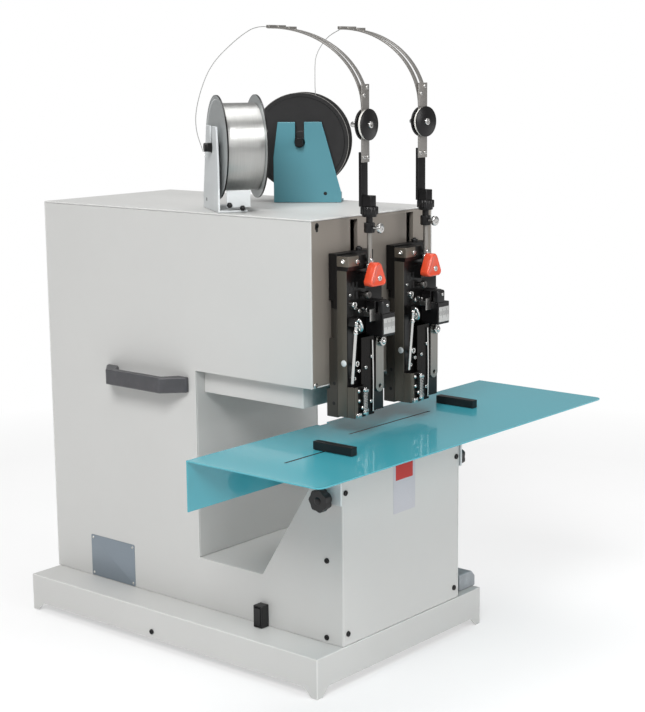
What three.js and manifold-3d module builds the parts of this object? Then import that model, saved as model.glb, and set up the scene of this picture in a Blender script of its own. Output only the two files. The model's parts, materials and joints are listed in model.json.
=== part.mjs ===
// Twin-head booklet stitching machine: a sheet-metal C-frame on a tray base, two wire
// stitching heads, a folding teal work table and two wire spools on the roof.
// Millimetres, +Z up, +X to the operator's right, the operator stands on the -Y side.
// Inside the group y = 0 is the front face of the head housing and z = 0 is the floor.
import * as THREE from 'three';
import { mergeVertices } from 'three/addons/utils/BufferGeometryUtils.js';
import Module from 'manifold-3d';

const wasm = await Module();
wasm.setup();

// Fits shared by every piece
const seam = 0.3;
const overrun = 3;
const weld = 0.0001;
const fineSides = 32;
const roundSides = 20;
const smallSides = 12;
const curveSteps = 7;

// Driving dimensions of the casing
const housing = {
  width: 240,
  top: 566,
  back: 476,
  underside: 364,
  columnFront: 195,
  sheet: 2,
  plateThick: 6,
};
const lowerBox = {
  front: -44.7,
  top: 270,
  shelfBack: 5,
  slantTop: 243,
  slantFoot: 84.9,
  floor: 116.9,
};
const base = {
  width: 340,
  front: -46,
  back: 474,
  height: 51,
  sheet: 2.5,
  skirtBottom: 11.4,
  footLength: 10,
  footSlope: 11,
};
const armBox = {
  halfWidth: 104,
  front: 28,
  bottom: 334,
  sheet: 2,
};
const slit = {
  width: 14,
  fromHead: 14,
};
// Heights inside the arm as shares of the way from its underside to the roof
const armShares = {
  slitBottom: 0.406,
  slitTop: 0.975,
  shaft: 0.52475,
};
const keyhole = {
  radius: 2.6,
  fromEdge: 11,
  fromTop: 10,
};

// Driving dimensions of the table and what carries it
const table = {
  halfWidth: 291.7,
  front: -156,
  back: 42,
  top: 305,
  sheet: 1.6,
  flangeDrop: 60.6,
  cornerRadius: 10,
};
const tilt = {
  pivotY: 10,
  pivotZ: 228,
  studRadius: 3,
  studY: -26,
  studZ: 236,
  secondPin: 28.7,
  range: 45,
};
const bracket = {
  thick: 3,
  standOff: 1.5,
  front: -46.5,
  back: 18,
  bottom: 229,
  innerMargin: 9,
  flangeWidth: 14,
  flangeThick: 2.3,
};
const knob = {
  radius: 14.5,
  lobeDepth: 1.9,
  lobes: 7,
  thick: 11,
  hubRadius: 8,
  hubLength: 7,
  studInside: 10,
};
const guide = {
  width: 10,
  length: 58,
  height: 10,
  pinRadius: 1.45,
  nutRadius: 5,
  nutHeight: 3,
};
const guideLeft = {
  x: -159,
  y: -67,
  pinY: -54,
  slotOuter: -232,
  slotInner: -150,
};
const guideRight = {
  besideHousing: 16,
  y: -29,
  pinY: -29,
  slotFront: -46,
  slotBack: -12,
};
const slotWidth = 3.5;
const clinch = {
  slotLeft: -78,
  slotRight: 87,
  lineY: -22,
  barWidth: 6,
  barTop: 288,
  tipWidth: 18,
  tipThick: 2.8,
  tipTop: 294,
  ridgeSlot: 5.5,
  guideWall: 4,
  guideFloor: 1.5,
  guideTop: 280,
};

// Driving dimensions of the stitching heads
const headCentres = [-53, 59];
const head = {
  halfWidth: 35,
  bottom: 326,
  top: 524,
  depth: 13,
  lipTop: 360,
  lipDepth: 4,
  notchBottom: 422,
  notchTop: 468,
  notchWidth: 4,
  notchDepth: 8,
};
const headBody = {
  front: -28,
  bottom: 328,
  shoulder: 466,
  narrowRight: 2,
  clampBottom: 505,
  clampTop: 522,
  clampFront: -30,
  channelFloor: -17,
  channelTop: 427,
  seatLeft: -14,
  seatRight: 8,
  seatFront: -38.7,
  seatBottom: 483,
  seatTop: 499.7,
};
const slide = {
  left: -14,
  right: 11,
  front: -33,
  bottom: 326,
  top: 423,
  formerLeft: -35,
  formerRight: -13,
  formerFront: -39,
  formerBottom: 328,
  formerTop: 366,
  tipCentre: -4,
  tipHalf: 6,
  tipFront: -26,
  tipBack: -20,
  tipDrop: 3,
};
const link = {
  centre: 23.5,
  width: 15,
  thick: 3.7,
  pivotZ: 414,
  length: 55.5,
  nutRadius: 6,
  nutThick: 5,
  eyeRadius: 2.6,
  pinRadius: 3,
  pinLength: 8,
};
const scaleBlock = {
  left: 0,
  right: 23.5,
  bottom: 424,
  rearTop: 466,
  frontTop: 452,
  stepDepth: 15,
  depth: 26.7,
};
const lever = {
  centre: -6,
  back: -39,
  pivotZ: 492,
  foot: 485,
  depth: 18,
  height: 29,
  halfWidth: 10,
  pointRadius: 4,
  bossRadius: 3.5,
  bossHeight: 1,
  pinRadius: 3,
};
const wireTubeOnHead = {
  centre: -29,
  radius: 2,
  topY: -38,
  topZ: 449,
  footY: -30.8,
  footZ: 370,
  cheek: 4,
  cheekHeight: 10,
};
const post = {
  axisY: -35,
  foot: 500,
  rodRadius: 3,
  nutBottom: 548,
  nutTop: 560,
  nutRadius: 6.6,
  neckRadius: 4,
  collarBottom: 567,
  collarTop: 579,
  collarRadius: 10.5,
  clampTop: 592,
  clampHalf: 6,
  barWidth: 14,
  barThick: 4,
  barOffset: 8.5,
  barTop: 643,
};
const thumb = {
  radius: 5.8,
  thick: 5,
  shankRadius: 2,
  shankLength: 6,
};
const arch = {
  stripWidth: 16,
  stripThick: 1.5,
  stripBottom: 631,
  springZ: 694,
  reach: 136,
  rise: 95,
  steps: 18,
  clipBacks: [105, 121],
  clipLength: 5,
  clipHeight: 4,
  screwRadius: 2.4,
  screwHead: 1.4,
};
const wheel = {
  centreZ: 675,
  radius: 18.5,
  feltRadius: 17.3,
  discThick: 2.2,
  feltThick: 3.6,
  pinRadius: 2.6,
  pegLength: 16,
  pegRadius: 3.4,
};
const armTurn = [5, -5];

// Driving dimensions of the wire supply on the roof
const spool = {
  flangeRadius: 64,
  flangeThick: 2,
  insideWidth: 48,
  coreRadius: 50,
  boreRadius: 5.9,
  axisHeight: 79,
};
const spoolLeft = {
  side: 'left',
  x: -69.5,
  y: 163,
  turn: -34,
  long: 1,
};
const spoolRight = {
  side: 'right',
  x: 82.5,
  y: 185.5,
  turn: 34,
  long: -1,
};
const winding = {
  turnGap: 0.5,
  endGap: 0.6,
  loops: 11,
  steps: 24,
  sides: 6,
};
const spoolBracket = {
  shortSide: 35,
  longSide: 54,
  topWidth: 57.6,
  sheet: 2.5,
  inside: 60,
  height: 105,
  longShoulder: 14,
  shortShoulder: 59,
  footReach: 37,
  slotWidth: 12,
  slotRadius: 7,
};
const spindle = {
  radius: 5.5,
  beyond: 9,
  blockSize: 11,
  blockThick: 4.5,
};

// The free wire: its size, and its two routes from the arch tips to the spools
const stitchWire = {
  radius: 0.5,
  sides: 8,
  steps: 40,
};
const wireRoutes = [
  [
    [-65.4, 107, 790.1],
    [-64.3, 123.5, 790.8],
    [-63.2, 139.7, 788.4],
    [-62.2, 155, 782.4],
    [-61.2, 169.7, 775],
    [-60.3, 183.9, 766.6],
    [-59.4, 197.8, 757.7],
    [-58.6, 210.7, 747.5],
    [-57.9, 221.9, 735.4],
    [-57.1, 231.1, 721.7],
    [-56.4, 238.7, 707.1],
    [-55.7, 244.7, 691.8],
    [-55, 247.9, 675.6],
    [-53.4, 247.4, 659.2],
    [-50.3, 243.9, 643.4],
    [-49.5, 237.4, 628.3],
    [-51.9, 228.5, 614.7],
    [-56.7, 216.4, 605],
    [-63.9, 201.7, 602.9],
  ],
  [
    [71.4, 107, 790.1],
    [71.5, 114.4, 787.1],
    [71.5, 121.8, 784.1],
    [71.7, 129, 780.5],
    [72, 135.4, 775.9],
    [72.5, 141.4, 770.6],
    [73.1, 146.8, 764.7],
    [73.9, 151.5, 758.3],
    [74.7, 154.8, 751.1],
    [75.7, 156.6, 743.3],
    [76.7, 157.7, 735.5],
    [78, 158.9, 727.7],
    [79.6, 160.3, 720],
    [81.4, 161.6, 712.3],
    [83.5, 163.1, 704.7],
    [85.7, 164.7, 697.2],
  ],
];

// Driving dimensions of handles, switch and fittings
const grip = {
  front: 206.5,
  back: 355.5,
  centreZ: 344.5,
  height: 20,
  standOff: 30,
  barThick: 12,
  padLength: 18,
  padThick: 5,
  slope: 25,
  innerSlope: 13,
};
const powerSwitch = {
  reach: 14,
  front: 75,
  back: 89,
  height: 28.7,
  pocketDepth: 7,
  rockerWidth: 10,
  rockerHeight: 23,
  rockerThick: 4.4,
  rockerProud: 0.8,
  rockerPlay: 0.8,
};
const connection = {
  front: -36,
  back: 10,
  height: 22.4,
};

// Outline of the connection box as shares of the base's width beside the housing
const connectionShares = {
  left: 0.32,
  right: 1.04,
  slope: 0.16,
};

// Driving dimensions of the drive inside the casing
const shaft = {
  radius: 10,
  front: 24,
  back: 432,
  crankRadius: 22,
  crankThick: 10,
  throwLength: 6,
  pinRadius: 5,
  pinLength: 9,
};
const beam = {
  sideReach: 7,
  front: 8,
  thick: 7,
  below: 20,
  above: 34,
  fingerBelow: 8,
  fingerAbove: 20,
  windowRadius: 12,
  stroke: 14,
};
const frame = {
  cheekInside: 62,
  cheekThick: 6,
  armFront: 30,
  armBottom: 380,
  underRoof: 21,
  columnFront: 205,
  columnBack: 400,
  bearingThick: 14,
  shelfTop: 150,
  shelfThick: 8,
  footThick: 8,
};
const flywheel = {
  underRoof: 14,
  width: 24,
  front: 404,
  groove: 4,
  hubRadius: 20,
  rimThick: 18,
  pocketDepth: 7,
};
const motor = {
  radius: 46,
  front: 225,
  length: 160,
  axisZ: 205,
  footHalf: 38,
  shaftRadius: 6,
  pulleyRadius: 26,
};
const belt = {
  thick: 5,
  width: 9,
};

// Finishes
const finishes = {
  bodyPaint: { color: 0xc8c7c5, roughness: 0.5, metalness: 0.1 },
  satinPlate: { color: 0x7d7871, roughness: 0.42, metalness: 0.7 },
  teal: { color: 0x4fa0aa, roughness: 0.25, metalness: 0.15 },
  blackPaint: { color: 0x1d1d1f, roughness: 0.5, metalness: 0.2 },
  gunmetal: { color: 0x57534d, roughness: 0.45, metalness: 0.8 },
  steel: { color: 0xb4b4b2, roughness: 0.25, metalness: 1 },
  orange: { color: 0xf2521e, roughness: 0.35, metalness: 0 },
  galvanised: { color: 0xb9bcbd, roughness: 0.4, metalness: 0.8 },
  paleBlue: { color: 0x9fb0ba, roughness: 0.5, metalness: 0.1 },
  castIron: { color: 0x4b4d50, roughness: 0.7, metalness: 0.6 },
  rubber: { color: 0x171717, roughness: 0.8, metalness: 0 },
  motorGreen: { color: 0x54666a, roughness: 0.5, metalness: 0.3 },
};

// Values worked out from the driving dimensions
const halfBody = housing.width / 2;
const halfBase = base.width / 2;
const innerHalf = halfBody - housing.sheet - seam;
const midDepth = (table.front + housing.back) / 2;
const spoolZ = housing.top + spool.axisHeight;
const armHeight = housing.top - housing.underside;
const shaftZ = housing.underside + armShares.shaft * armHeight;
const slitBottom = housing.underside + armShares.slitBottom * armHeight;
const slitTop = housing.underside + armShares.slitTop * armHeight;
const wheelRadius = housing.top - shaftZ - flywheel.underRoof;
const switchOuter = halfBody + powerSwitch.reach;
const guideRightX = halfBody + guideRight.besideHousing;
const stud = {
  radius: Math.hypot(tilt.studY - tilt.pivotY, tilt.studZ - tilt.pivotZ),
  angle: Math.atan2(tilt.studZ - tilt.pivotZ, tilt.studY - tilt.pivotY),
};
const radians = THREE.MathUtils.degToRad;
const turnPitch = (spool.insideWidth - 2 * winding.endGap + winding.turnGap) / (winding.loops + 1);
const turnRadius = (turnPitch - winding.turnGap) / 2;

// Turns a closed three.js geometry into a solid that can be joined and cut.
function solidOf(geometry) {
  const bare = geometry.index ? geometry.toNonIndexed() : geometry.clone();
  for (const name of Object.keys(bare.attributes)) {
    if (name !== 'position') bare.deleteAttribute(name);
  }
  const merged = mergeVertices(bare, weld);
  const mesh = new wasm.Mesh({
    numProp: 3,
    vertProperties: new Float32Array(merged.attributes.position.array),
    triVerts: new Uint32Array(merged.index.array),
  });
  return new wasm.Manifold(mesh);
}

// A block between two corners.
function block(x0, x1, y0, y1, z0, z1) {
  const geometry = new THREE.BoxGeometry(x1 - x0, y1 - y0, z1 - z0);
  geometry.translate((x0 + x1) / 2, (y0 + y1) / 2, (z0 + z1) / 2);
  return solidOf(geometry);
}

// A round bar of the given radius from start to end along one axis through the point.
function bar(axis, radius, start, end, at, sides = roundSides, endRadius = radius) {
  const geometry = new THREE.CylinderGeometry(endRadius, radius, end - start, sides);
  geometry.translate(0, (start + end) / 2, 0);
  if (axis === 'x') geometry.rotateZ(-Math.PI / 2);
  if (axis === 'z') geometry.rotateX(Math.PI / 2);
  geometry.translate(at[0], at[1], at[2]);
  return solidOf(geometry);
}

// An outline drawn in one plane and carried along the axis square to it.
function prism(plane, outline, start, end) {
  const shape = outline instanceof THREE.Shape ? outline : new THREE.Shape(outline.map(toVector));
  const geometry = new THREE.ExtrudeGeometry(shape, {
    depth: end - start,
    bevelEnabled: false,
    curveSegments: curveSteps,
  });
  geometry.translate(0, 0, start);
  const axes = {
    xy: [[1, 0, 0], [0, 1, 0], [0, 0, 1]],
    yz: [[0, 1, 0], [0, 0, 1], [1, 0, 0]],
    zx: [[0, 0, 1], [1, 0, 0], [0, 1, 0]],
  }[plane];
  const turn = new THREE.Matrix4().makeBasis(...axes.map((axis) => new THREE.Vector3(...axis)));
  geometry.applyMatrix4(turn);
  return solidOf(geometry);
}

function toVector(point) {
  return new THREE.Vector2(point[0], point[1]);
}

// The outline of a bent sheet: a line of points, and the same line moved sideways by the thickness.
function sheetOutline(points, thickness) {
  const moved = points.map((point, index) => {
    const before = points[Math.max(index - 1, 0)];
    const after = points[Math.min(index + 1, points.length - 1)];
    const inward = unit(index > 0 ? before : point, index > 0 ? point : after);
    const last = index === points.length - 1;
    const outward = unit(last ? before : point, last ? point : after);
    const side = [-(inward[1] + outward[1]), inward[0] + outward[0]];
    const length = Math.hypot(side[0], side[1]);
    const normal = [-inward[1], inward[0]];
    const stretch = thickness / ((side[0] * normal[0] + side[1] * normal[1]) / length);
    return [point[0] + (side[0] / length) * stretch, point[1] + (side[1] / length) * stretch];
  });
  return [...points, ...moved.reverse()];
}

function unit(from, to) {
  const length = Math.hypot(to[0] - from[0], to[1] - from[1]);
  return [(to[0] - from[0]) / length, (to[1] - from[1]) / length];
}

// A slot bent round a centre, or straight where its ends are given as two points.
function arcSlot(centreY, centreZ, radius, halfWidth, from, to) {
  const shape = new THREE.Shape();
  const end = [centreY + radius * Math.cos(to), centreZ + radius * Math.sin(to)];
  const start = [centreY + radius * Math.cos(from), centreZ + radius * Math.sin(from)];
  shape.absarc(centreY, centreZ, radius + halfWidth, from, to, false);
  shape.absarc(end[0], end[1], halfWidth, to, to + Math.PI, false);
  shape.absarc(centreY, centreZ, radius - halfWidth, to, from, true);
  shape.absarc(start[0], start[1], halfWidth, from + Math.PI, from + 2 * Math.PI, false);
  return shape;
}

// A straight slot in the table top with round ends, between two corners.
function topSlot(x0, x1, y0, y1) {
  const half = slotWidth / 2;
  const shape = new THREE.Shape();
  if (x1 - x0 > y1 - y0) {
    shape.absarc(x1 - half, y0 + half, half, -Math.PI / 2, Math.PI / 2, false);
    shape.absarc(x0 + half, y0 + half, half, Math.PI / 2, (3 * Math.PI) / 2, false);
  } else {
    shape.absarc(x0 + half, y1 - half, half, 0, Math.PI, false);
    shape.absarc(x0 + half, y0 + half, half, Math.PI, 2 * Math.PI, false);
  }
  return prism('xy', shape, table.top - table.sheet - overrun, table.top + overrun);
}

function joined(...solids) {
  return solids.reduce((whole, next) => whole.add(next));
}

function without(whole, ...cuts) {
  return cuts.reduce((rest, cut) => rest.subtract(cut), whole);
}

// Makes the named mesh of a piece and puts it into its group.
function place(group, name, shape, finish) {
  const geometry = shape instanceof THREE.BufferGeometry ? shape : geometryOf(shape);
  geometry.computeVertexNormals();
  const mesh = new THREE.Mesh(geometry, new THREE.MeshStandardMaterial(finishes[finish]));
  mesh.name = name;
  group.add(mesh);
  return mesh;
}

function geometryOf(solid) {
  const { vertProperties, triVerts } = solid.getMesh();
  const geometry = new THREE.BufferGeometry();
  geometry.setAttribute('position', new THREE.BufferAttribute(new Float32Array(vertProperties), 3));
  geometry.setIndex(new THREE.BufferAttribute(new Uint32Array(triVerts), 1));
  return geometry;
}

// The tray that the machine stands on: a top sheet, four skirts and a foot at each corner.
function baseTray() {
  const outside = block(-halfBase, halfBase, base.front, base.back, 0, base.height);
  const hollow = block(
    -halfBase + base.sheet, halfBase - base.sheet,
    base.front + base.sheet, base.back - base.sheet,
    -overrun, base.height - base.sheet,
  );
  const reach = halfBase + overrun;
  const sideRelief = prism('yz', footRelief(base.front, base.back), -reach, reach);
  const frontRelief = uprightPrism(
    footRelief(-halfBase, halfBase), base.front - overrun, base.back + overrun,
  );
  return without(outside, hollow, sideRelief, frontRelief);
}

// The opening between two feet, drawn from one end of a skirt to the other.
function footRelief(low, high) {
  return [
    [low + base.footLength, -overrun],
    [high - base.footLength, -overrun],
    [high - base.footLength, 0],
    [high - base.footLength - base.footSlope, base.skirtBottom],
    [low + base.footLength + base.footSlope, base.skirtBottom],
    [low + base.footLength, 0],
  ];
}

// One C-shaped side sheet with the fixed pins of the table's tilt.
function sidePanel(sign) {
  const outline = [
    [lowerBox.front, base.height + seam],
    [housing.back - housing.sheet - seam, base.height + seam],
    [housing.back - housing.sheet - seam, housing.top - housing.sheet - seam],
    [0, housing.top - housing.sheet - seam],
    [0, housing.underside],
    [housing.columnFront, housing.underside],
    [housing.columnFront, lowerBox.floor],
    [lowerBox.slantFoot, lowerBox.floor],
    [lowerBox.shelfBack, lowerBox.slantTop],
    [lowerBox.shelfBack, lowerBox.top],
    [lowerBox.front, lowerBox.top],
  ];
  const low = Math.min(sign * halfBody, sign * (halfBody - housing.sheet));
  const sheet = prism('yz', outline, low, low + housing.sheet);
  const angle = stud.angle - radians(tilt.secondPin);
  const pinEnd = halfBody + bracket.standOff + bracket.thick + seam;
  const pinStart = halfBody - housing.sheet / 2;
  const pin = bar(
    'x', tilt.studRadius,
    Math.min(sign * pinStart, sign * pinEnd), Math.max(sign * pinStart, sign * pinEnd),
    [0, tilt.pivotY + stud.radius * Math.cos(angle), tilt.pivotZ + stud.radius * Math.sin(angle)],
    smallSides,
  );
  const studHole = bar(
    'x', tilt.studRadius + seam, -halfBody - overrun, halfBody + overrun,
    [0, tilt.studY, tilt.studZ], smallSides,
  );
  return without(joined(sheet, pin), studHole);
}

// Roof and back in one bent sheet.
function topBackCover() {
  const outline = sheetOutline([
    [housing.back, base.height + seam],
    [housing.back, housing.top],
    [0, housing.top],
  ], housing.sheet);
  return prism('yz', outline, -halfBody, halfBody);
}

// Column front and the underside of the head housing in one bent sheet.
function columnFrontPanel() {
  const outline = sheetOutline([
    [seam, housing.underside],
    [housing.columnFront, housing.underside],
    [housing.columnFront, lowerBox.floor + seam],
  ], housing.sheet);
  return prism('yz', outline, -innerHalf, innerHalf);
}

// Thick front plate with a long slit above each head for the fingers of the drive beam.
function headFrontPlate() {
  const plate = block(
    -innerHalf, innerHalf, 0, housing.plateThick,
    housing.underside + housing.sheet + seam, housing.top - housing.sheet - seam,
  );
  const slits = headCentres.map((centre) => block(
    centre + slit.fromHead - slit.width / 2, centre + slit.fromHead + slit.width / 2,
    -overrun, housing.plateThick + overrun, slitBottom, slitTop,
  ));
  const key = bar(
    'y', keyhole.radius, -overrun, housing.plateThick + overrun,
    [-halfBody + keyhole.fromEdge, 0, housing.top - keyhole.fromTop], smallSides,
  );
  return without(plate, ...slits, key);
}

// Shallow folded box that closes the underside of the arm.
function armBoxTray() {
  const back = housing.columnFront - seam;
  const outside = block(
    -armBox.halfWidth, armBox.halfWidth, armBox.front, back,
    armBox.bottom, housing.underside - seam,
  );
  const hollow = block(
    -armBox.halfWidth + armBox.sheet, armBox.halfWidth - armBox.sheet,
    armBox.front + armBox.sheet, back - armBox.sheet,
    armBox.bottom + armBox.sheet, housing.underside + overrun,
  );
  return without(outside, hollow);
}

// Slanted back of the lower box and the floor of the recess in one bent sheet.
function recessTray() {
  const outline = sheetOutline([
    [housing.columnFront + housing.sheet, lowerBox.floor],
    [lowerBox.slantFoot, lowerBox.floor],
    [lowerBox.shelfBack, lowerBox.slantTop],
    [lowerBox.shelfBack, lowerBox.top - housing.sheet - seam],
  ], housing.sheet);
  return prism('yz', outline, -innerHalf, innerHalf);
}

// Front and shelf of the lower box in one bent sheet.
function lowerFrontCover() {
  const outline = sheetOutline([
    [lowerBox.shelfBack, lowerBox.top],
    [lowerBox.front, lowerBox.top],
    [lowerBox.front, base.height + seam],
  ], housing.sheet);
  return prism('yz', outline, -innerHalf, innerHalf);
}

// Inner frame: two cheeks, two bearing plates and the motor shelf.
function mainFrame() {
  const top = housing.top - frame.underRoof;
  const outline = [
    [frame.columnFront, base.height + seam],
    [frame.columnBack, base.height + seam],
    [frame.columnBack, top],
    [frame.armFront, top],
    [frame.armFront, frame.armBottom],
    [frame.columnFront, frame.armBottom],
  ];
  const outer = frame.cheekInside + frame.cheekThick;
  const left = prism('yz', outline, -outer, -frame.cheekInside);
  const right = prism('yz', outline, frame.cheekInside, outer);
  const plates = [frame.armFront, frame.columnBack - frame.bearingThick].map((front) => block(
    -frame.cheekInside - seam, frame.cheekInside + seam,
    front, front + frame.bearingThick, frame.armBottom, top,
  ));
  const shelf = block(
    -frame.cheekInside - seam, frame.cheekInside + seam,
    frame.columnFront, frame.columnBack,
    frame.shelfTop - frame.shelfThick, frame.shelfTop,
  );
  const foot = block(
    -frame.cheekInside - seam, frame.cheekInside + seam,
    frame.columnFront, frame.columnBack,
    base.height + seam, base.height + seam + frame.footThick,
  );
  const bore = bar(
    'y', shaft.radius + seam, frame.armFront - overrun, frame.columnBack + overrun,
    [0, 0, shaftZ], roundSides,
  );
  return without(joined(left, right, ...plates, shelf, foot), bore);
}

// Carrying handle on one side: a flat grip held off the panel by two sloping ends with pads.
function sideHandle(sign) {
  const inner = halfBody + seam;
  const outer = halfBody + grip.standOff;
  const gap = grip.padLength + grip.innerSlope;
  const outline = [
    [grip.front, inner],
    [grip.front + grip.padLength, inner],
    [grip.front + gap, outer - grip.barThick],
    [grip.back - gap, outer - grip.barThick],
    [grip.back - grip.padLength, inner],
    [grip.back, inner],
    [grip.back, inner + grip.padThick],
    [grip.back - grip.slope, outer],
    [grip.front + grip.slope, outer],
    [grip.front, inner + grip.padThick],
  ];
  const flat = outline.map(([y, x]) => [sign * x, y]);
  return prism('xy', flat, grip.centreZ - grip.height / 2, grip.centreZ + grip.height / 2);
}

// Work table: a flat top with a rear flange folded down, and its slots.
function workTable() {
  const outline = sheetOutline([
    [table.back, table.top - table.flangeDrop],
    [table.back, table.top],
    [table.front, table.top],
  ], table.sheet);
  const sheet = prism('yz', outline, -table.halfWidth, table.halfWidth);
  const half = slotWidth / 2;
  const ridgeSlots = headCentres.map((centre) => block(
    centre - clinch.tipWidth / 2 - 2 * seam, centre + clinch.tipWidth / 2 + 2 * seam,
    table.back - clinch.ridgeSlot, table.back + overrun,
    table.top - clinch.ridgeSlot, table.top + overrun,
  ));
  return without(
    sheet,
    topSlot(guideLeft.slotOuter, guideLeft.slotInner, guideLeft.pinY - half, guideLeft.pinY + half),
    topSlot(guideRightX - half, guideRightX + half, guideRight.slotFront, guideRight.slotBack),
    topSlot(clinch.slotLeft, clinch.slotRight, clinch.lineY - half, clinch.lineY + half),
    ...ridgeSlots,
    tableCorner(-1),
    tableCorner(1),
  );
}

// What is cut away to round one front corner of the table.
function tableCorner(sign) {
  const side = table.halfWidth - table.cornerRadius;
  const deep = table.front + table.cornerRadius;
  const outer = table.halfWidth + overrun;
  const points = [[side, table.front - overrun], [outer, table.front - overrun], [outer, deep]];
  for (let step = 0; step <= curveSteps; step += 1) {
    const angle = (step / curveSteps) * (Math.PI / 2);
    points.push([side + table.cornerRadius * Math.cos(angle), deep - table.cornerRadius * Math.sin(angle)]);
  }
  const outline = points.map(([x, y]) => [sign * x, y]);
  return prism('xy', outline, table.top - table.sheet - overrun, table.top + overrun);
}

// Hanging bracket of the table: its bent slot slides over the stud and the fixed pin.
function tableBracket(sign) {
  const inner = halfBody + bracket.standOff;
  const outer = inner + bracket.thick;
  const top = table.top - table.sheet - seam;
  const innerRadius = stud.radius - bracket.innerMargin;
  const slotEnd = stud.angle - radians(tilt.secondPin) - radians(tilt.range);
  const shape = new THREE.Shape();
  shape.moveTo(bracket.front, top);
  shape.lineTo(bracket.front, bracket.bottom);
  shape.lineTo(tilt.pivotY - innerRadius, bracket.bottom);
  shape.absarc(tilt.pivotY, tilt.pivotZ, innerRadius, Math.PI, slotEnd, true);
  shape.lineTo(bracket.back, tilt.pivotZ + innerRadius);
  shape.lineTo(bracket.back, top);
  shape.closePath();
  const low = Math.min(sign * inner, sign * outer);
  const plate = prism('yz', shape, low, low + bracket.thick);
  const lip = block(
    ...span(sign, inner - bracket.flangeWidth, outer),
    bracket.front, bracket.back, top - bracket.flangeThick, top,
  );
  const slot = prism(
    'yz',
    arcSlot(tilt.pivotY, tilt.pivotZ, stud.radius, tilt.studRadius + seam, slotEnd, stud.angle),
    low - overrun, low + bracket.thick + overrun,
  );
  return without(joined(plate, lip), slot);
}

// Star knob on the clamping stud of the tilt.
function starKnob(sign) {
  const shape = new THREE.Shape();
  const count = knob.lobes * 4;
  for (let index = 0; index < count; index += 1) {
    const angle = (index / count) * 2 * Math.PI;
    const reach = knob.radius - knob.lobeDepth * (1 - Math.cos(knob.lobes * angle)) / 2;
    const point = [tilt.studY + reach * Math.cos(angle), tilt.studZ + reach * Math.sin(angle)];
    if (index === 0) shape.moveTo(...point);
    else shape.lineTo(...point);
  }
  const hubStart = halfBody + bracket.standOff + bracket.thick + seam;
  const headStart = hubStart + knob.hubLength;
  const headEnd = headStart + knob.thick;
  const at = [0, tilt.studY, tilt.studZ];
  const star = prism('yz', shape, ...span(sign, headStart, headEnd));
  const hub = bar('x', knob.hubRadius, ...span(sign, hubStart, headStart + seam), at);
  const inside = halfBody - housing.sheet - knob.studInside;
  const threaded = bar('x', tilt.studRadius, ...span(sign, inside, headStart), at, smallSides);
  return joined(star, hub, threaded);
}

function span(sign, near, far) {
  return [Math.min(sign * near, sign * far), Math.max(sign * near, sign * far)];
}

// Paper stop that slides along its slot, with its pin and the nut under the table.
function paperGuide(spot) {
  const bottom = table.top + seam;
  const stop = block(
    spot.x - guide.width / 2, spot.x + guide.width / 2,
    spot.y - guide.length / 2, spot.y + guide.length / 2,
    bottom, bottom + guide.height,
  );
  const under = table.top - table.sheet - seam;
  const at = [spot.x, spot.pinY, 0];
  const pin = bar('z', guide.pinRadius, under - guide.nutHeight / 2, bottom + seam, at, smallSides);
  const nut = bar('z', guide.nutRadius, under - guide.nutHeight, under, at, smallSides);
  return joined(stop, pin, nut);
}

// Clincher bar with a roof-shaped tip under each head.
function clincherBar() {
  const half = clinch.barWidth / 2;
  const tip = clinch.tipThick / 2;
  const bottom = lowerBox.top + seam + clinch.guideFloor + seam;
  const strip = block(
    clinch.slotLeft, clinch.slotRight, clinch.lineY - half, clinch.lineY + half, bottom, clinch.barTop,
  );
  const tips = headCentres.map((centre) => prism('yz', [
    [clinch.lineY - half, clinch.barTop - seam],
    [clinch.lineY + half, clinch.barTop - seam],
    [clinch.lineY + tip, clinch.tipTop],
    [clinch.lineY - tip, clinch.tipTop],
  ], centre - clinch.tipWidth / 2, centre + clinch.tipWidth / 2));
  return joined(strip, ...tips);
}

// Grooved guide on the shelf of the lower box, in which the clincher bar rises.
function clincherGuide() {
  const groove = clinch.barWidth / 2 + seam;
  const outer = groove + clinch.guideWall;
  const bottom = lowerBox.top + seam;
  const whole = block(
    clinch.slotLeft, clinch.slotRight, clinch.lineY - outer, clinch.lineY + outer, bottom, clinch.guideTop,
  );
  const cut = block(
    clinch.slotLeft - overrun, clinch.slotRight + overrun,
    clinch.lineY - groove, clinch.lineY + groove,
    bottom + clinch.guideFloor, clinch.guideTop + overrun,
  );
  return without(whole, cut);
}


// Back plate of a head, with a notch in its left edge and the lip that hooks under the housing.
function headPlate(centre) {
  const left = centre - head.halfWidth;
  const right = centre + head.halfWidth;
  const slab = block(left, right, -head.depth, -seam, head.bottom, head.top);
  const lip = block(left, right, -2 * seam, head.lipDepth, head.bottom, head.lipTop);
  const notch = block(
    left - overrun, left + head.notchWidth, -head.notchDepth, overrun, head.notchBottom, head.notchTop,
  );
  return without(joined(slab, lip), notch);
}

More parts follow.
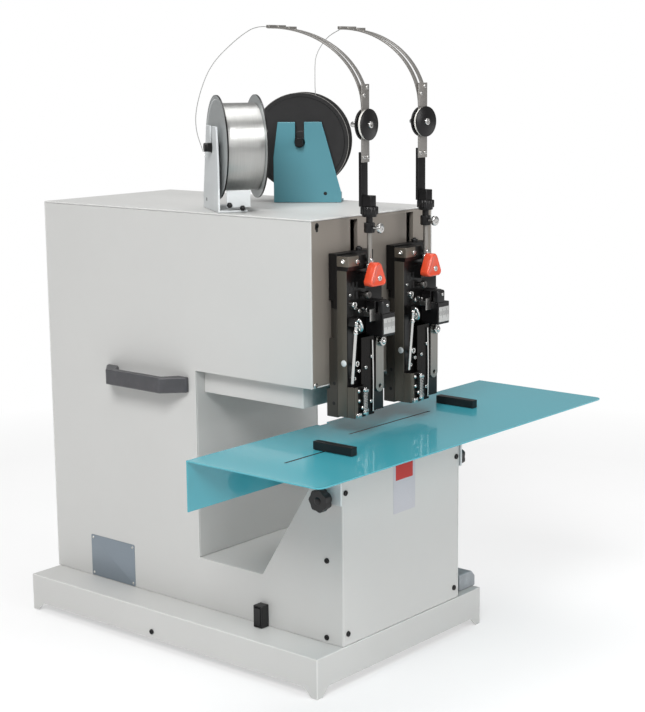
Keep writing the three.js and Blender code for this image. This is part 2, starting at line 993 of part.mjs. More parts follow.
// Black front casting of a head: channel for the driver, clamp bar on top, seat of the wire post
// and the bright tube that leads the wire down.
function headCasting(centre) {
  const back = -head.depth - seam;
  const left = centre - head.halfWidth;
  const right = centre + head.halfWidth;
  const narrow = centre + headBody.narrowRight;
  const low = block(left, right, headBody.front, back, headBody.bottom, headBody.shoulder);
  const high = block(
    left, narrow, headBody.front, back, headBody.shoulder - seam, headBody.clampBottom + seam,
  );
  const clamp = block(left, narrow, headBody.clampFront, back, headBody.clampBottom, headBody.clampTop);
  const seat = block(
    centre + headBody.seatLeft, centre + headBody.seatRight,
    headBody.seatFront, headBody.front + seam, headBody.seatBottom, headBody.seatTop,
  );
  const channel = block(
    centre + slide.left - seam, centre + slide.right + seam,
    headBody.front - overrun, headBody.channelFloor,
    headBody.bottom - overrun, headBody.channelTop,
  );
  const leverBore = bar(
    'y', lever.pinRadius + seam, headBody.seatFront - overrun, headBody.front,
    [centre + lever.centre, 0, lever.pivotZ], smallSides,
  );
  const linkBore = bar(
    'y', link.pinRadius + seam, headBody.front - overrun, headBody.front + link.pinLength + seam,
    [centre + link.centre, 0, link.pivotZ], smallSides,
  );
  const tube = wireTubeOnHead;
  const tubeX = centre + tube.centre;
  const leader = leanBar(tube.radius, [tubeX, tube.topY, tube.topZ], [tubeX, tube.footY, tube.footZ]);
  const cheek = block(
    tubeX - tube.cheek, tubeX + tube.cheek,
    tube.topY, headBody.front + seam, tube.topZ - tube.cheekHeight, tube.topZ,
  );
  return without(joined(low, high, clamp, seat, cheek, leader), channel, leverBore, linkBore);
}

// A round bar between two points.
function leanBar(radius, from, to) {
  const start = new THREE.Vector3(...from);
  const run = new THREE.Vector3(...to).sub(start);
  const geometry = new THREE.CylinderGeometry(radius, radius, run.length(), smallSides);
  geometry.translate(0, run.length() / 2, 0);
  const turn = new THREE.Quaternion().setFromUnitVectors(new THREE.Vector3(0, 1, 0), run.normalize());
  geometry.applyQuaternion(turn);
  geometry.translate(start.x, start.y, start.z);
  return solidOf(geometry);
}

// Driver and former of a head, which go down together.
function driverSlide(centre) {
  const rod = block(
    centre + slide.left, centre + slide.right,
    slide.front, headBody.channelFloor - seam, slide.bottom, slide.top,
  );
  const former = block(
    centre + slide.formerLeft, centre + slide.formerRight,
    slide.formerFront, headBody.front - seam, slide.formerBottom, slide.formerTop,
  );
  const tip = block(
    centre + slide.tipCentre - slide.tipHalf, centre + slide.tipCentre + slide.tipHalf,
    slide.tipFront, slide.tipBack, slide.bottom - slide.tipDrop, slide.bottom + seam,
  );
  return joined(rod, former, tip);
}

// Flat steel link on the right of a head, hung on a pin in the casting and held by its nut.
function feedLink(centre) {
  const middle = centre + link.centre;
  const half = link.width / 2;
  const back = headBody.front - seam;
  const shape = new THREE.Shape();
  shape.absarc(middle, link.pivotZ, half, 0, Math.PI, false);
  shape.absarc(middle, link.pivotZ - link.length, half, Math.PI, 2 * Math.PI, false);
  const strip = uprightPrism(shape, back - link.thick, back);
  const at = [middle, 0, link.pivotZ];
  const nut = bar('y', link.nutRadius, back - link.thick - link.nutThick, back - link.thick + seam, at, 6);
  const pin = bar('y', link.pinRadius, back - seam, headBody.front + link.pinLength, at, smallSides);
  const eye = bar(
    'y', link.eyeRadius, back - link.thick - overrun, back + overrun,
    [middle, 0, link.pivotZ - link.length], smallSides,
  );
  return without(joined(strip, nut, pin), eye);
}

// An outline drawn in x and z and carried along y.
function uprightPrism(outline, start, end, curves = curveSteps) {
  const shape = outline instanceof THREE.Shape ? outline : new THREE.Shape(outline.map(toVector));
  const geometry = new THREE.ExtrudeGeometry(shape, {
    depth: end - start,
    bevelEnabled: false,
    curveSegments: curves,
  });
  geometry.rotateX(Math.PI / 2);
  geometry.translate(0, end, 0);
  return solidOf(geometry);
}

// Stepped black block that carries the thickness scales.
function thicknessBlock(centre) {
  const back = headBody.front - seam;
  const left = centre + scaleBlock.left;
  const right = centre + scaleBlock.right;
  const rear = block(
    left, right, back - scaleBlock.stepDepth, back, scaleBlock.bottom, scaleBlock.rearTop,
  );
  const front = block(
    left, right, back - scaleBlock.depth, back - scaleBlock.stepDepth + seam,
    scaleBlock.bottom, scaleBlock.frontTop,
  );
  return joined(rear, front);
}

// Orange thickness lever: a thick rounded wedge on a pin in the seat of the casting.
function thicknessLever(centre) {
  const middle = centre + lever.centre;
  const tip = lever.foot + lever.height;
  const corner = lever.pointRadius;
  const shape = new THREE.Shape();
  shape.absarc(middle, tip - corner, corner, radians(20), radians(160), false);
  shape.absarc(
    middle - lever.halfWidth + corner, lever.foot + corner, corner, radians(160), radians(270), false,
  );
  shape.absarc(
    middle + lever.halfWidth - corner, lever.foot + corner, corner, radians(-90), radians(20), false,
  );
  const wedge = uprightPrism(shape, lever.back - lever.depth, lever.back);
  const at = [middle, 0, lever.pivotZ];
  const front = lever.back - lever.depth;
  const boss = bar('y', lever.bossRadius, front - lever.bossHeight, front + seam, at, smallSides);
  const pin = bar('y', lever.pinRadius, lever.back - seam, headBody.front - seam, at, smallSides);
  return joined(wedge, boss, pin);
}

// Wire post: rod, nut, neck, knurled collar, clamp block and the flat bar behind it.
function armPost() {
  const at = [0, 0, 0];
  const rod = bar('z', post.rodRadius, post.foot, post.nutBottom + seam, at, smallSides);
  const nut = bar('z', post.nutRadius, post.nutBottom, post.nutTop, at, 6);
  const neck = bar('z', post.neckRadius, post.nutTop - seam, post.collarBottom + seam, at, smallSides);
  const collar = bar('z', post.collarRadius, post.collarBottom, post.collarTop, at, roundSides);
  const clamp = block(
    -post.clampHalf, post.clampHalf, -post.clampHalf, post.barOffset,
    post.collarTop - seam, post.clampTop,
  );
  const flat = block(
    -post.barWidth / 2, post.barWidth / 2,
    post.barOffset - post.barThick / 2, post.barOffset + post.barThick / 2,
    post.collarTop - seam, post.barTop,
  );
  const shank = bar(
    'y', thumb.shankRadius + seam, -post.nutRadius - overrun, 0,
    [0, 0, (post.nutBottom + post.nutTop) / 2], smallSides,
  );
  return without(joined(rod, nut, neck, collar, clamp, flat), shank);
}

// Round thumb screw that clamps the post in its nut.
function thumbScrew() {
  const z = (post.nutBottom + post.nutTop) / 2;
  const face = -post.nutRadius - thumb.shankLength;
  const disc = bar('y', thumb.radius, face - thumb.thick, face, [0, 0, z]);
  const shank = bar('y', thumb.shankRadius, face - seam, -post.rodRadius, [0, 0, z], smallSides);
  return joined(disc, shank);
}

// Steel strip that rises from the flat bar and bends back over the roof in a quarter ellipse.
function archArm() {
  const face = post.barOffset - post.barThick / 2 - seam;
  const line = [[face, arch.stripBottom]];
  for (let index = 0; index <= arch.steps; index += 1) {
    line.push(archPoint(face, (index / arch.steps) * (Math.PI / 2)));
  }
  const outline = sheetOutline(line, arch.stripThick);
  const strip = prism('yz', outline, -arch.stripWidth / 2, arch.stripWidth / 2);
  const clips = arch.clipBacks.map((reach) => {
    const [y, z] = archPoint(face, Math.acos(1 - reach / arch.reach));
    return block(
      -arch.stripWidth / 2, arch.stripWidth / 2, y - arch.clipLength / 2, y + arch.clipLength / 2,
      z + seam, z + arch.stripThick + arch.clipHeight,
    );
  });
  const front = face - arch.stripThick;
  const screws = [-1, 1].map((side) => bar(
    'y', arch.screwRadius, front - arch.screwHead, front + seam,
    [(side * arch.stripWidth) / 4, 0, (arch.stripBottom + post.barTop) / 2], smallSides,
  ));
  const pinHole = bar(
    'y', wheel.pinRadius + seam, front - overrun, face + overrun, [0, 0, wheel.centreZ], smallSides,
  );
  return without(joined(strip, ...clips, ...screws), pinHole);
}

// A point on the inner line of the arch, from upright at its spring to level at its tip.
function archPoint(face, angle) {
  return [face + arch.reach * (1 - Math.cos(angle)), arch.springZ + arch.rise * Math.sin(angle)];
}

// Wiping wheel: two black discs with a white felt between them, on a pin through the strip.
function feltWheel() {
  const stripBack = post.barOffset - post.barThick / 2 - seam;
  const stripFront = stripBack - arch.stripThick;
  const rearFace = stripBack + seam;
  const feltBack = stripFront - seam;
  const feltFront = feltBack - wheel.feltThick;
  const discBack = rearFace + wheel.discThick;
  const at = [0, 0, wheel.centreZ];
  const rear = bar('y', wheel.radius, rearFace, discBack, at, fineSides);
  const felt = bar('y', wheel.feltRadius, feltFront, feltBack, at, fineSides);
  const front = bar('y', wheel.radius, feltFront - wheel.discThick, feltFront + seam, at, fineSides);
  const pin = bar('y', wheel.pinRadius, feltFront, rearFace + seam, at, smallSides);
  const peg = bar('y', wheel.pegRadius, discBack - seam, discBack + wheel.pegLength, at, smallSides);
  return joined(rear, felt, front, pin, peg);
}

// Spool: two flanges and the plain inner layers of wire on a bored core, turned about the x axis.
function wireSpool() {
  const half = spool.insideWidth / 2;
  const outer = half + spool.flangeThick;
  const profile = [
    [spool.boreRadius, -outer],
    [spool.flangeRadius, -outer],
    [spool.flangeRadius, -half],
    [spool.coreRadius, -half],
    [spool.coreRadius, half],
    [spool.flangeRadius, half],
    [spool.flangeRadius, outer],
    [spool.boreRadius, outer],
    [spool.boreRadius, -outer],
  ];
  const geometry = new THREE.LatheGeometry(profile.map(toVector), fineSides);
  geometry.rotateZ(-Math.PI / 2);
  geometry.translate(0, 0, spoolZ);
  return solidOf(geometry);
}

// Centre line of the outer layer of wire: one steady helix on the plain inner layers.
class WindingLine extends THREE.Curve {
  constructor() {
    super();
    this.arcLengthDivisions = winding.loops * winding.steps;
  }

  getPoint(share, target = new THREE.Vector3()) {
    const reach = (spool.coreRadius + seam + turnRadius) / Math.cos(Math.PI / winding.steps);
    const angle = share * winding.loops * 2 * Math.PI;
    const width = winding.loops * turnPitch;
    return target.set(
      share * width - width / 2,
      reach * Math.cos(angle),
      spoolZ + reach * Math.sin(angle),
    );
  }
}

// A round section of a tube with the given number of corners.
function roundSection(radius, corners) {
  const section = new THREE.Shape();
  for (let corner = 0; corner < corners; corner += 1) {
    const angle = (corner / corners) * 2 * Math.PI;
    const at = [radius * Math.cos(angle), radius * Math.sin(angle)];
    if (corner === 0) section.moveTo(...at);
    else section.lineTo(...at);
  }
  return section;
}

// The outer layer of wire on a spool: one unbroken tube along the helix.
function wireWinding(line) {
  const steps = winding.loops * winding.steps;
  const section = roundSection(turnRadius, winding.sides);
  return new THREE.ExtrudeGeometry(section, { steps, extrudePath: line, bevelEnabled: false });
}

// Least gap between two stretches of the wound wire that are at least half a loop apart.
function leastGap(points) {
  let least = Infinity;
  const apart = winding.steps / 2;
  for (let first = 0; first < points.length; first += 1) {
    for (let second = first + apart; second < points.length; second += 1) {
      least = Math.min(least, points[first].distanceTo(points[second]));
    }
  }
  return least - 2 * turnRadius;
}

// Angle bracket on the roof: one slotted plate that the spindle is clamped in, and its foot.
function wireBracket(long) {
  const bottom = housing.top + seam;
  const top = bottom + spoolBracket.height;
  const low = long > 0 ? -spoolBracket.shortSide : -spoolBracket.longSide;
  const high = long > 0 ? spoolBracket.longSide : spoolBracket.shortSide;
  const lowShoulder = long > 0 ? spoolBracket.shortShoulder : spoolBracket.longShoulder;
  const highShoulder = long > 0 ? spoolBracket.longShoulder : spoolBracket.shortShoulder;
  const topHalf = spoolBracket.topWidth / 2;
  const half = spoolBracket.inside / 2;
  const outer = half + spoolBracket.sheet;
  const outline = [
    [low, bottom],
    [high, bottom],
    [high, bottom + highShoulder],
    [topHalf, top],
    [-topHalf, top],
    [low, bottom + lowShoulder],
  ];
  const plate = prism('yz', outline, -outer, -half);
  const foot = block(
    -outer, -outer + spoolBracket.footReach, low, high, bottom, bottom + spoolBracket.sheet,
  );
  const slot = block(
    -outer - overrun, outer + overrun,
    -spoolBracket.slotWidth / 2, spoolBracket.slotWidth / 2, spoolZ, top + overrun,
  );
  const reach = outer + overrun;
  const seat = bar('x', spoolBracket.slotRadius, -reach, reach, [0, 0, spoolZ], roundSides);
  return without(joined(plate, foot), slot, seat);
}

// Spindle through the spool: square blocks clamp it on the bracket plate and hold the spool.
function spoolSpindle() {
  const half = spoolBracket.inside / 2;
  const outer = half + spoolBracket.sheet;
  const flange = spool.insideWidth / 2 + spool.flangeThick;
  const at = [0, 0, spoolZ];
  const rod = bar('x', spindle.radius, -outer - spindle.beyond, half + spindle.beyond, at, roundSides);
  const reach = spindle.blockSize / 2;
  const blocks = [
    [-outer - seam - spindle.blockThick, -outer - seam],
    [-half + seam, -flange - seam],
    [flange + seam, flange + seam + spindle.blockThick],
  ].map(([near, far]) => block(near, far, -reach, reach, spoolZ - reach, spoolZ + reach));
  return joined(rod, ...blocks);
}

// One free run of the thin stitching wire from an arch tip to its spool.
function wireRun(points) {
  const curve = new THREE.CatmullRomCurve3(points.map((point) => new THREE.Vector3(...point)));
  const section = roundSection(stitchWire.radius, stitchWire.sides);
  return new THREE.ExtrudeGeometry(section, {
    steps: stitchWire.steps,
    extrudePath: curve,
    bevelEnabled: false,
  });
}

// Motor: round case, two feet and the stub of its shaft.
function motorCase() {
  const back = motor.front + motor.length;
  const at = [0, 0, motor.axisZ];
  const round = bar('y', motor.radius, motor.front, back, at, fineSides);
  const feet = block(
    -motor.footHalf, motor.footHalf, motor.front + motor.radius / 2, back - motor.radius / 2,
    frame.shelfTop + seam, motor.axisZ,
  );
  return joined(round, feet);
}

// Motor shaft with its belt pulley.
function motorPulley() {
  const back = motor.front + motor.length;
  const at = [0, 0, motor.axisZ];
  const stub = bar('y', motor.shaftRadius, back + seam, flywheel.front + seam, at, smallSides);
  const wheelPart = groovedWheel(motor.pulleyRadius, flywheel.width, flywheel.front, motor.axisZ);
  return joined(stub, wheelPart);
}

// A wheel about the y axis with a flat-bottomed belt groove in its rim.
function groovedWheel(radius, width, front, z) {
  const edge = (width - belt.width) / 2 - seam;
  const profile = [
    [0, 0],
    [radius, 0],
    [radius, edge],
    [radius - flywheel.groove, edge],
    [radius - flywheel.groove, width - edge],
    [radius, width - edge],
    [radius, width],
    [0, width],
  ];
  const geometry = new THREE.LatheGeometry(profile.map(toVector), fineSides);
  geometry.translate(0, front, z);
  return solidOf(geometry);
}

// Flywheel: grooved rim, two round pockets and the bore for the shaft.
function flywheelDisc() {
  const solid = groovedWheel(wheelRadius, flywheel.width, flywheel.front, shaftZ);
  const at = [0, 0, shaftZ];
  const back = flywheel.front + flywheel.width;
  const rim = wheelRadius - flywheel.rimThick;
  const pocket = (start, end) => bar('y', rim, start, end, at, fineSides)
    .subtract(bar('y', flywheel.hubRadius, start - overrun, end + overrun, at, roundSides));
  const bore = bar('y', shaft.radius + seam, flywheel.front - overrun, back + overrun, at, roundSides);
  return without(
    solid,
    pocket(flywheel.front - overrun, flywheel.front + flywheel.pocketDepth),
    pocket(back - flywheel.pocketDepth, back + overrun),
    bore,
  );
}

// Shaft with the crank disc and crank pin at its front end.
function crankShaft() {
  const at = [0, 0, shaftZ];
  const rod = bar('y', shaft.radius, shaft.front, shaft.back, at, roundSides);
  const half = shaft.crankThick / 2;
  const disc = bar('y', shaft.crankRadius, shaft.front - half, shaft.front + half - seam, at, fineSides);
  const pin = bar(
    'y', shaft.pinRadius, shaft.front - shaft.crankThick / 2 - shaft.pinLength, shaft.front,
    [0, 0, shaftZ + shaft.throwLength], smallSides,
  );
  return joined(rod, disc, pin);
}

// Belt from the motor pulley up to the flywheel.
function driveBelt() {
  const chord = Math.cos(Math.PI / roundSides / 2);
  const small = (motor.pulleyRadius - flywheel.groove + seam) / chord;
  const large = (wheelRadius - flywheel.groove + seam) / chord;
  const lean = Math.asin((large - small) / (shaftZ - motor.axisZ));
  const loop = (offset) => {
    const shape = new THREE.Shape();
    shape.absarc(0, shaftZ, large + offset, -lean, Math.PI + lean, false);
    shape.absarc(0, motor.axisZ, small + offset, Math.PI + lean, 2 * Math.PI - lean, false);
    return shape;
  };
  const middle = flywheel.front + flywheel.width / 2;
  const half = belt.width / 2;
  const outside = uprightPrism(loop(belt.thick), middle - half, middle + half, roundSides);
  const inside = uprightPrism(loop(0), middle - belt.width, middle + belt.width, roundSides);
  return without(outside, inside);
}

// Beam that the drive moves up and down, with a finger in each slit of the front plate and a
// window that the crank pin turns in.
function driveBeam() {
  const strip = block(
    headCentres[0] + slit.fromHead - beam.sideReach, headCentres[1] + slit.fromHead + beam.sideReach,
    beam.front, beam.front + beam.thick, shaftZ - beam.below, shaftZ + beam.above,
  );
  const fingers = headCentres.map((centre) => block(
    centre + slit.fromHead - slit.width / 2 + 2 * seam,
    centre + slit.fromHead + slit.width / 2 - 2 * seam,
    seam, beam.front + seam, shaftZ - beam.fingerBelow, shaftZ + beam.fingerAbove,
  ));
  const shape = new THREE.Shape();
  shape.absarc(0, shaftZ + beam.stroke, beam.windowRadius, 0, Math.PI, false);
  shape.absarc(0, shaftZ, beam.windowRadius, Math.PI, 2 * Math.PI, false);
  const window = uprightPrism(shape, beam.front - overrun, beam.front + beam.thick + overrun);
  return without(joined(strip, ...fingers), window);
}

// Small switch housing that stands on the base against the left side panel.
function switchHousing() {
  const bottom = base.height + seam;
  const inner = halfBody + seam;
  const middleY = (powerSwitch.front + powerSwitch.back) / 2;
  const middleZ = bottom + powerSwitch.height / 2;
  const halfY = powerSwitch.rockerWidth / 2 + seam;
  const halfZ = (powerSwitch.rockerHeight + powerSwitch.rockerPlay) / 2 + seam;
  const whole = block(
    -switchOuter, -inner, powerSwitch.front, powerSwitch.back, bottom, bottom + powerSwitch.height,
  );
  const pocket = block(
    -switchOuter - overrun, -switchOuter + powerSwitch.pocketDepth,
    middleY - halfY, middleY + halfY, middleZ - halfZ, middleZ + halfZ,
  );
  return without(whole, pocket);
}

// Rocker in the outer face of the switch housing.
function switchRocker() {
  const middleY = (powerSwitch.front + powerSwitch.back) / 2;
  const middleZ = base.height + seam + powerSwitch.height / 2;
  const face = -switchOuter - powerSwitch.rockerProud;
  return block(
    face, face + powerSwitch.rockerThick,
    middleY - powerSwitch.rockerWidth / 2, middleY + powerSwitch.rockerWidth / 2,
    middleZ - powerSwitch.rockerHeight / 2, middleZ + powerSwitch.rockerHeight / 2,
  );
}

// Low box on the right of the base with a sloping lid.
function connectionBox() {
  const bottom = base.height + seam;
  const top = bottom + connection.height;
  const room = halfBase - halfBody;
  const left = halfBody + connectionShares.left * room;
  const right = halfBody + connectionShares.right * room;
  const slope = connectionShares.slope * room;
  return uprightPrism([
    [left, bottom],
    [right, bottom],
    [right, top - slope],
    [right - slope, top],
    [left, top],
  ], connection.front, connection.back);
}


// Assembly
const machine = new THREE.Group();
const works = new THREE.Group();
works.position.y = -midDepth;
machine.add(works);

place(works, 'base_tray', baseTray(), 'bodyPaint');
place(works, 'side_panel_left', sidePanel(-1), 'bodyPaint');
place(works, 'side_panel_right', sidePanel(1), 'bodyPaint');
place(works, 'top_back_cover', topBackCover(), 'bodyPaint');
place(works, 'column_front_panel', columnFrontPanel(), 'bodyPaint');
place(works, 'head_front_plate', headFrontPlate(), 'satinPlate');
place(works, 'arm_box', armBoxTray(), 'bodyPaint');
place(works, 'recess_tray', recessTray(), 'bodyPaint');
place(works, 'lower_front_cover', lowerFrontCover(), 'bodyPaint');
place(works, 'main_frame', mainFrame(), 'castIron');
place(works, 'side_handle_left', sideHandle(-1), 'blackPaint');
place(works, 'side_handle_right', sideHandle(1), 'blackPaint');
place(works, 'power_switch_housing', switchHousing(), 'blackPaint');
place(works, 'power_rocker', switchRocker(), 'blackPaint');
place(works, 'connection_box', connectionBox(), 'paleBlue');
place(works, 'motor', motorCase(), 'motorGreen');
place(works, 'motor_pulley', motorPulley(), 'steel');
place(works, 'drive_belt', driveBelt(), 'rubber');
place(works, 'flywheel', flywheelDisc(), 'castIron');
place(works, 'crankshaft', crankShaft(), 'steel');
place(works, 'drive_beam', driveBeam(), 'castIron');
place(works, 'clincher_guide', clincherGuide(), 'castIron');
place(works, 'clincher_bar', clincherBar(), 'steel');
place(works, 'table', workTable(), 'teal');
place(works, 'table_bracket_left', tableBracket(-1), 'galvanised');
place(works, 'table_bracket_right', tableBracket(1), 'galvanised');
place(works, 'star_knob_left', starKnob(-1), 'blackPaint');
place(works, 'star_knob_right', starKnob(1), 'blackPaint');
place(works, 'paper_guide_left', paperGuide(guideLeft), 'blackPaint');
place(works, 'paper_guide_right', paperGuide({ ...guideRight, x: guideRightX }), 'blackPaint');

headCentres.forEach((centre, index) => {
  const number = index + 1;
  place(works, `head_plate_${number}`, headPlate(centre), 'gunmetal');
  place(works, `head_body_${number}`, headCasting(centre), 'blackPaint');
  place(works, `driver_slide_${number}`, driverSlide(centre), 'steel');
  place(works, `feed_link_${number}`, feedLink(centre), 'steel');
  place(works, `thickness_block_${number}`, thicknessBlock(centre), 'blackPaint');
  place(works, `thickness_lever_${number}`, thicknessLever(centre), 'orange');
  const arm = new THREE.Group();
  arm.position.set(centre, post.axisY, 0);
  arm.rotation.z = radians(armTurn[index]);
  works.add(arm);
  place(arm, `arm_post_${number}`, armPost(), 'blackPaint');
  place(arm, `thumb_screw_${number}`, thumbScrew(), 'steel');
  place(arm, `arch_arm_${number}`, archArm(), 'steel');
  place(arm, `felt_wheel_${number}`, feltWheel(), 'blackPaint');
});

const line = new WindingLine();
const woundPoints = line.getSpacedPoints(winding.loops * winding.steps);
console.log('least gap in the wound wire, mm:', leastGap(woundPoints).toFixed(3));
[spoolLeft, spoolRight].forEach((spot) => {
  const supply = new THREE.Group();
  supply.position.set(spot.x, spot.y, 0);
  supply.rotation.z = radians(spot.turn);
  works.add(supply);
  const finish = spot.side === 'left' ? 'galvanised' : 'teal';
  place(supply, `spool_bracket_${spot.side}`, wireBracket(spot.long), finish);
  place(supply, `spindle_${spot.side}`, spoolSpindle(), 'blackPaint');
  place(supply, `wire_spool_${spot.side}`, wireSpool(), spot.side === 'left' ? 'galvanised' : 'blackPaint');
  place(supply, `wire_winding_${spot.side}`, wireWinding(line), 'steel');
});
wireRoutes.forEach((route, index) => place(works, `stitch_wire_${index + 1}`, wireRun(route), 'steel'));

export default machine;
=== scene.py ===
"""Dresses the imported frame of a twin-head booklet stitching machine.

Sizes are written in the machine's own millimetres: x to the operator's right, y = 0 at the front
face of the head housing, z = 0 on the bench. Shell arrays are moved to the row frame in metres
only when their mesh is made.
"""
import json
import logging
import math
from dataclasses import dataclass, replace
from enum import Enum
from typing import Any, Mapping, Sequence

import bmesh
import bpy
import numpy as np
from mathutils import Matrix


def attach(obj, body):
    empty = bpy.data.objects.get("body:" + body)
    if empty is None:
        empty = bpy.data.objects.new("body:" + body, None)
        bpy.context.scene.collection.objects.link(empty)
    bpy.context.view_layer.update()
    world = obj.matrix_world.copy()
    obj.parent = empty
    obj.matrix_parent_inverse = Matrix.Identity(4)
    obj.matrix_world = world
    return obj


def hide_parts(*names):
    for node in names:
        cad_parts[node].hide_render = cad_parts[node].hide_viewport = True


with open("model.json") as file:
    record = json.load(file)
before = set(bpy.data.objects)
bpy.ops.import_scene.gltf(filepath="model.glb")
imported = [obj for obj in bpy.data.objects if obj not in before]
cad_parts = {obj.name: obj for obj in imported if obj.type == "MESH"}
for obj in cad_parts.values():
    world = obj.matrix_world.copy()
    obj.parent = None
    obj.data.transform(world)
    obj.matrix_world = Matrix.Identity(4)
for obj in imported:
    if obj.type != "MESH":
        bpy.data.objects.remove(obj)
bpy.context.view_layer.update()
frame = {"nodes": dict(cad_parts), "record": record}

LOG = logging.getLogger("stitching_machine")
MM = 0.001
ROW_SHIFT = np.array([0.0, -160.0, 0.0])
BODY_OF = {n: b for b, nodes in frame["record"]["behaviour"]["bodies"].items() for n in nodes}
SLOT_OF = {s["node"]: s["material_slot"] for s in frame["record"]["subparts"]}
Colour = tuple[float, float, float]
Spot = tuple[float, float, float]
Sockets = dict[str, Any]

# How a copied or new mesh is cleaned, in metres and degrees
MERGE_WITHIN = 2e-6
SHORTEST_EDGE = 1e-7
LEVEL_WITHIN = 0.6

# How an eased edge differs from the face beside it
# The lighter edge tone stands for rubbed wear and is also a painted highlight along the edge
EDGE_WEAR_AND_HIGHLIGHT = 1.14
EDGE_SMOOTHER = 0.08
SMOOTHEST_EDGE = 0.1
# The enamel edge's darker tone is painted shade along slot lines and rims
ENAMEL_EDGE_PAINTED_SHADE = 0.34
ENAMEL_EDGE_ROUGHNESS = 0.5
ENAMEL_EDGE_COAT = 0.1


def paint(red: int, green: int, blue: int) -> Colour:
    """A screen colour as the linear numbers that a shader takes.

    Args:
        red: Red from 0 to 255.
        green: Green from 0 to 255.
        blue: Blue from 0 to 255.

    Returns:
        The three linear parts, each from 0 to 1.
    """
    parts = np.array([red, green, blue]) / 255.0
    low = parts / 12.92
    high = ((parts + 0.055) / 1.055) ** 2.4
    return tuple(float(v) for v in np.where(parts <= 0.04045, low, high))


def scaled(colour: Colour, factor: float) -> Colour:
    """The colour made lighter or darker by a factor, kept under 1."""
    return tuple(min(part * factor, 1.0) for part in colour)


class Term:
    """One output of a node that takes part in Python arithmetic; each operator adds a Math node."""

    def __init__(self, graph: "Graph", socket: bpy.types.NodeSocket) -> None:
        """Keeps the graph and the socket that this term stands for."""
        self.graph = graph
        self.socket = socket

    def _math(self, operation: str, first: Any, second: Any = 0.0) -> "Term":
        """Adds one Math node on two values or terms."""
        made = self.graph.node("ShaderNodeMath", {"operation": operation}, {0: first, 1: second})
        return self.graph.term(made)

    def __add__(self, other: Any) -> "Term":
        """Sum of this term and a value or term."""
        return self._math("ADD", self, other)

    __radd__ = __add__

    def __sub__(self, other: Any) -> "Term":
        """This term less a value or term."""
        return self._math("SUBTRACT", self, other)

    def __rsub__(self, other: Any) -> "Term":
        """A value less this term."""
        return self._math("SUBTRACT", other, self)

    def __mul__(self, other: Any) -> "Term":
        """Product of this term and a value or term."""
        return self._math("MULTIPLY", self, other)

    __rmul__ = __mul__

    def __truediv__(self, other: Any) -> "Term":
        """This term divided by a value or term."""
        return self._math("DIVIDE", self, other)

    def __rtruediv__(self, other: Any) -> "Term":
        """A value divided by this term."""
        return self._math("DIVIDE", other, self)

    def __pow__(self, other: Any) -> "Term":
        """This term to a power."""
        return self._math("POWER", self, other)

    def __gt__(self, other: Any) -> "Term":
        """1 where this term is greater, else 0."""
        return self._math("GREATER_THAN", self, other)

    def __lt__(self, other: Any) -> "Term":
        """1 where this term is less, else 0."""
        return self._math("LESS_THAN", self, other)

    def size(self) -> "Term":
        """The term without its sign."""
        return self._math("ABSOLUTE", self)

    def part(self) -> "Term":
        """The part of the term after its whole number."""
        return self._math("FRACT", self)

    def top(self, other: Any) -> "Term":
        """The greater of the term and a value."""
        return self._math("MAXIMUM", self, other)


class Graph:
    """A node tree that is filled from Python."""

    def __init__(self, tree: bpy.types.NodeTree) -> None:
        """Empties the tree and keeps it."""
        self.tree = tree
        self.tree.nodes.clear()

    def node(self, kind: str, settings: Mapping[str, Any], sockets: Mapping[Any, Any]) -> bpy.types.Node:
        """Adds a node, sets it, then fills or links its sockets.

        Args:
            kind: The node's type.
            settings: Its own settings.
            sockets: A value, term or colour by the socket's name or number.

        Returns:
            The new node.
        """
        made = self.tree.nodes.new(kind)
        for name, value in settings.items():
            setattr(made, name, value)
        # Puts a Bevel on an object and gives the eased edges the edge finish: rubbed and lightened as a
        # painted highlight, or on enamel darkened as painted shade.
        for key, value in sockets.items():
            socket = made.inputs[key]
            if isinstance(value, Term):
                self.tree.links.new(value.socket, socket)
            elif isinstance(value, (tuple, list)) and len(socket.default_value) == 4 and len(value) == 3:
                socket.default_value = (*value, 1.0)
            else:
                socket.default_value = value
        return made

    def term(self, made: bpy.types.Node, output: int | str = 0) -> Term:
        """An output of a node as a term."""
        return Term(self, made.outputs[output])

    def coordinates(self, scale: Colour = (1.0, 1.0, 1.0), centre: Colour = (0.0, 0.0, 0.0)) -> Term:
        """Object coordinates in metres, centred and stretched.

        Args:
            scale: How much each axis is multiplied by.
            centre: The point that becomes the pattern's origin.

        Returns:
            The vector term.
        """
        place = self.term(self.node("ShaderNodeTexCoord", {}, {}), "Object")
        back = tuple(-c * s for c, s in zip(centre, scale))
        sockets = {"Vector": place, "Location": back, "Scale": scale}
        return self.term(self.node("ShaderNodeMapping", {}, sockets))

    def noise(self, where: Term, cells: float, detail: float = 2.0, rough: float = 0.5) -> Term:
        """Cloudy values from 0 to 1.

        Args:
            where: The vector that the noise is read at.
            cells: Clouds per unit of that vector.
            detail: How many finer layers lie over the first.
            rough: How strong each finer layer is.

        Returns:
            The value term.
        """
        sockets = {"Vector": where, "Scale": cells, "Detail": detail, "Roughness": rough}
        return self.term(self.node("ShaderNodeTexNoise", {}, sockets), 0)

    def blend(self, share: Any, first: Any, second: Any) -> Term:
        """A colour between two colours by a share from 0 to 1."""
        made = self.node("ShaderNodeMix", {"data_type": "RGBA"}, {0: share, 6: first, 7: second})
        return self.term(made, 2)

    def tones(self, share: Any, colour: Colour, low: float, high: float) -> Term:
        """A colour that goes from a darker to a lighter tone of itself by a share."""
        return self.blend(share, scaled(colour, low), scaled(colour, high))

    def axis(self, vector: Term, name: str) -> Term:
        """One part of a vector, by the axis's letter."""
        return self.term(self.node("ShaderNodeSeparateXYZ", {}, {0: vector}), name)

    def bump(self, height: Term, strength: float, distance: float) -> Term:
        """The normal that a height pattern gives."""
        made = self.node("ShaderNodeBump", {}, {"Height": height, "Strength": strength, "Distance": distance})
        return self.term(made)


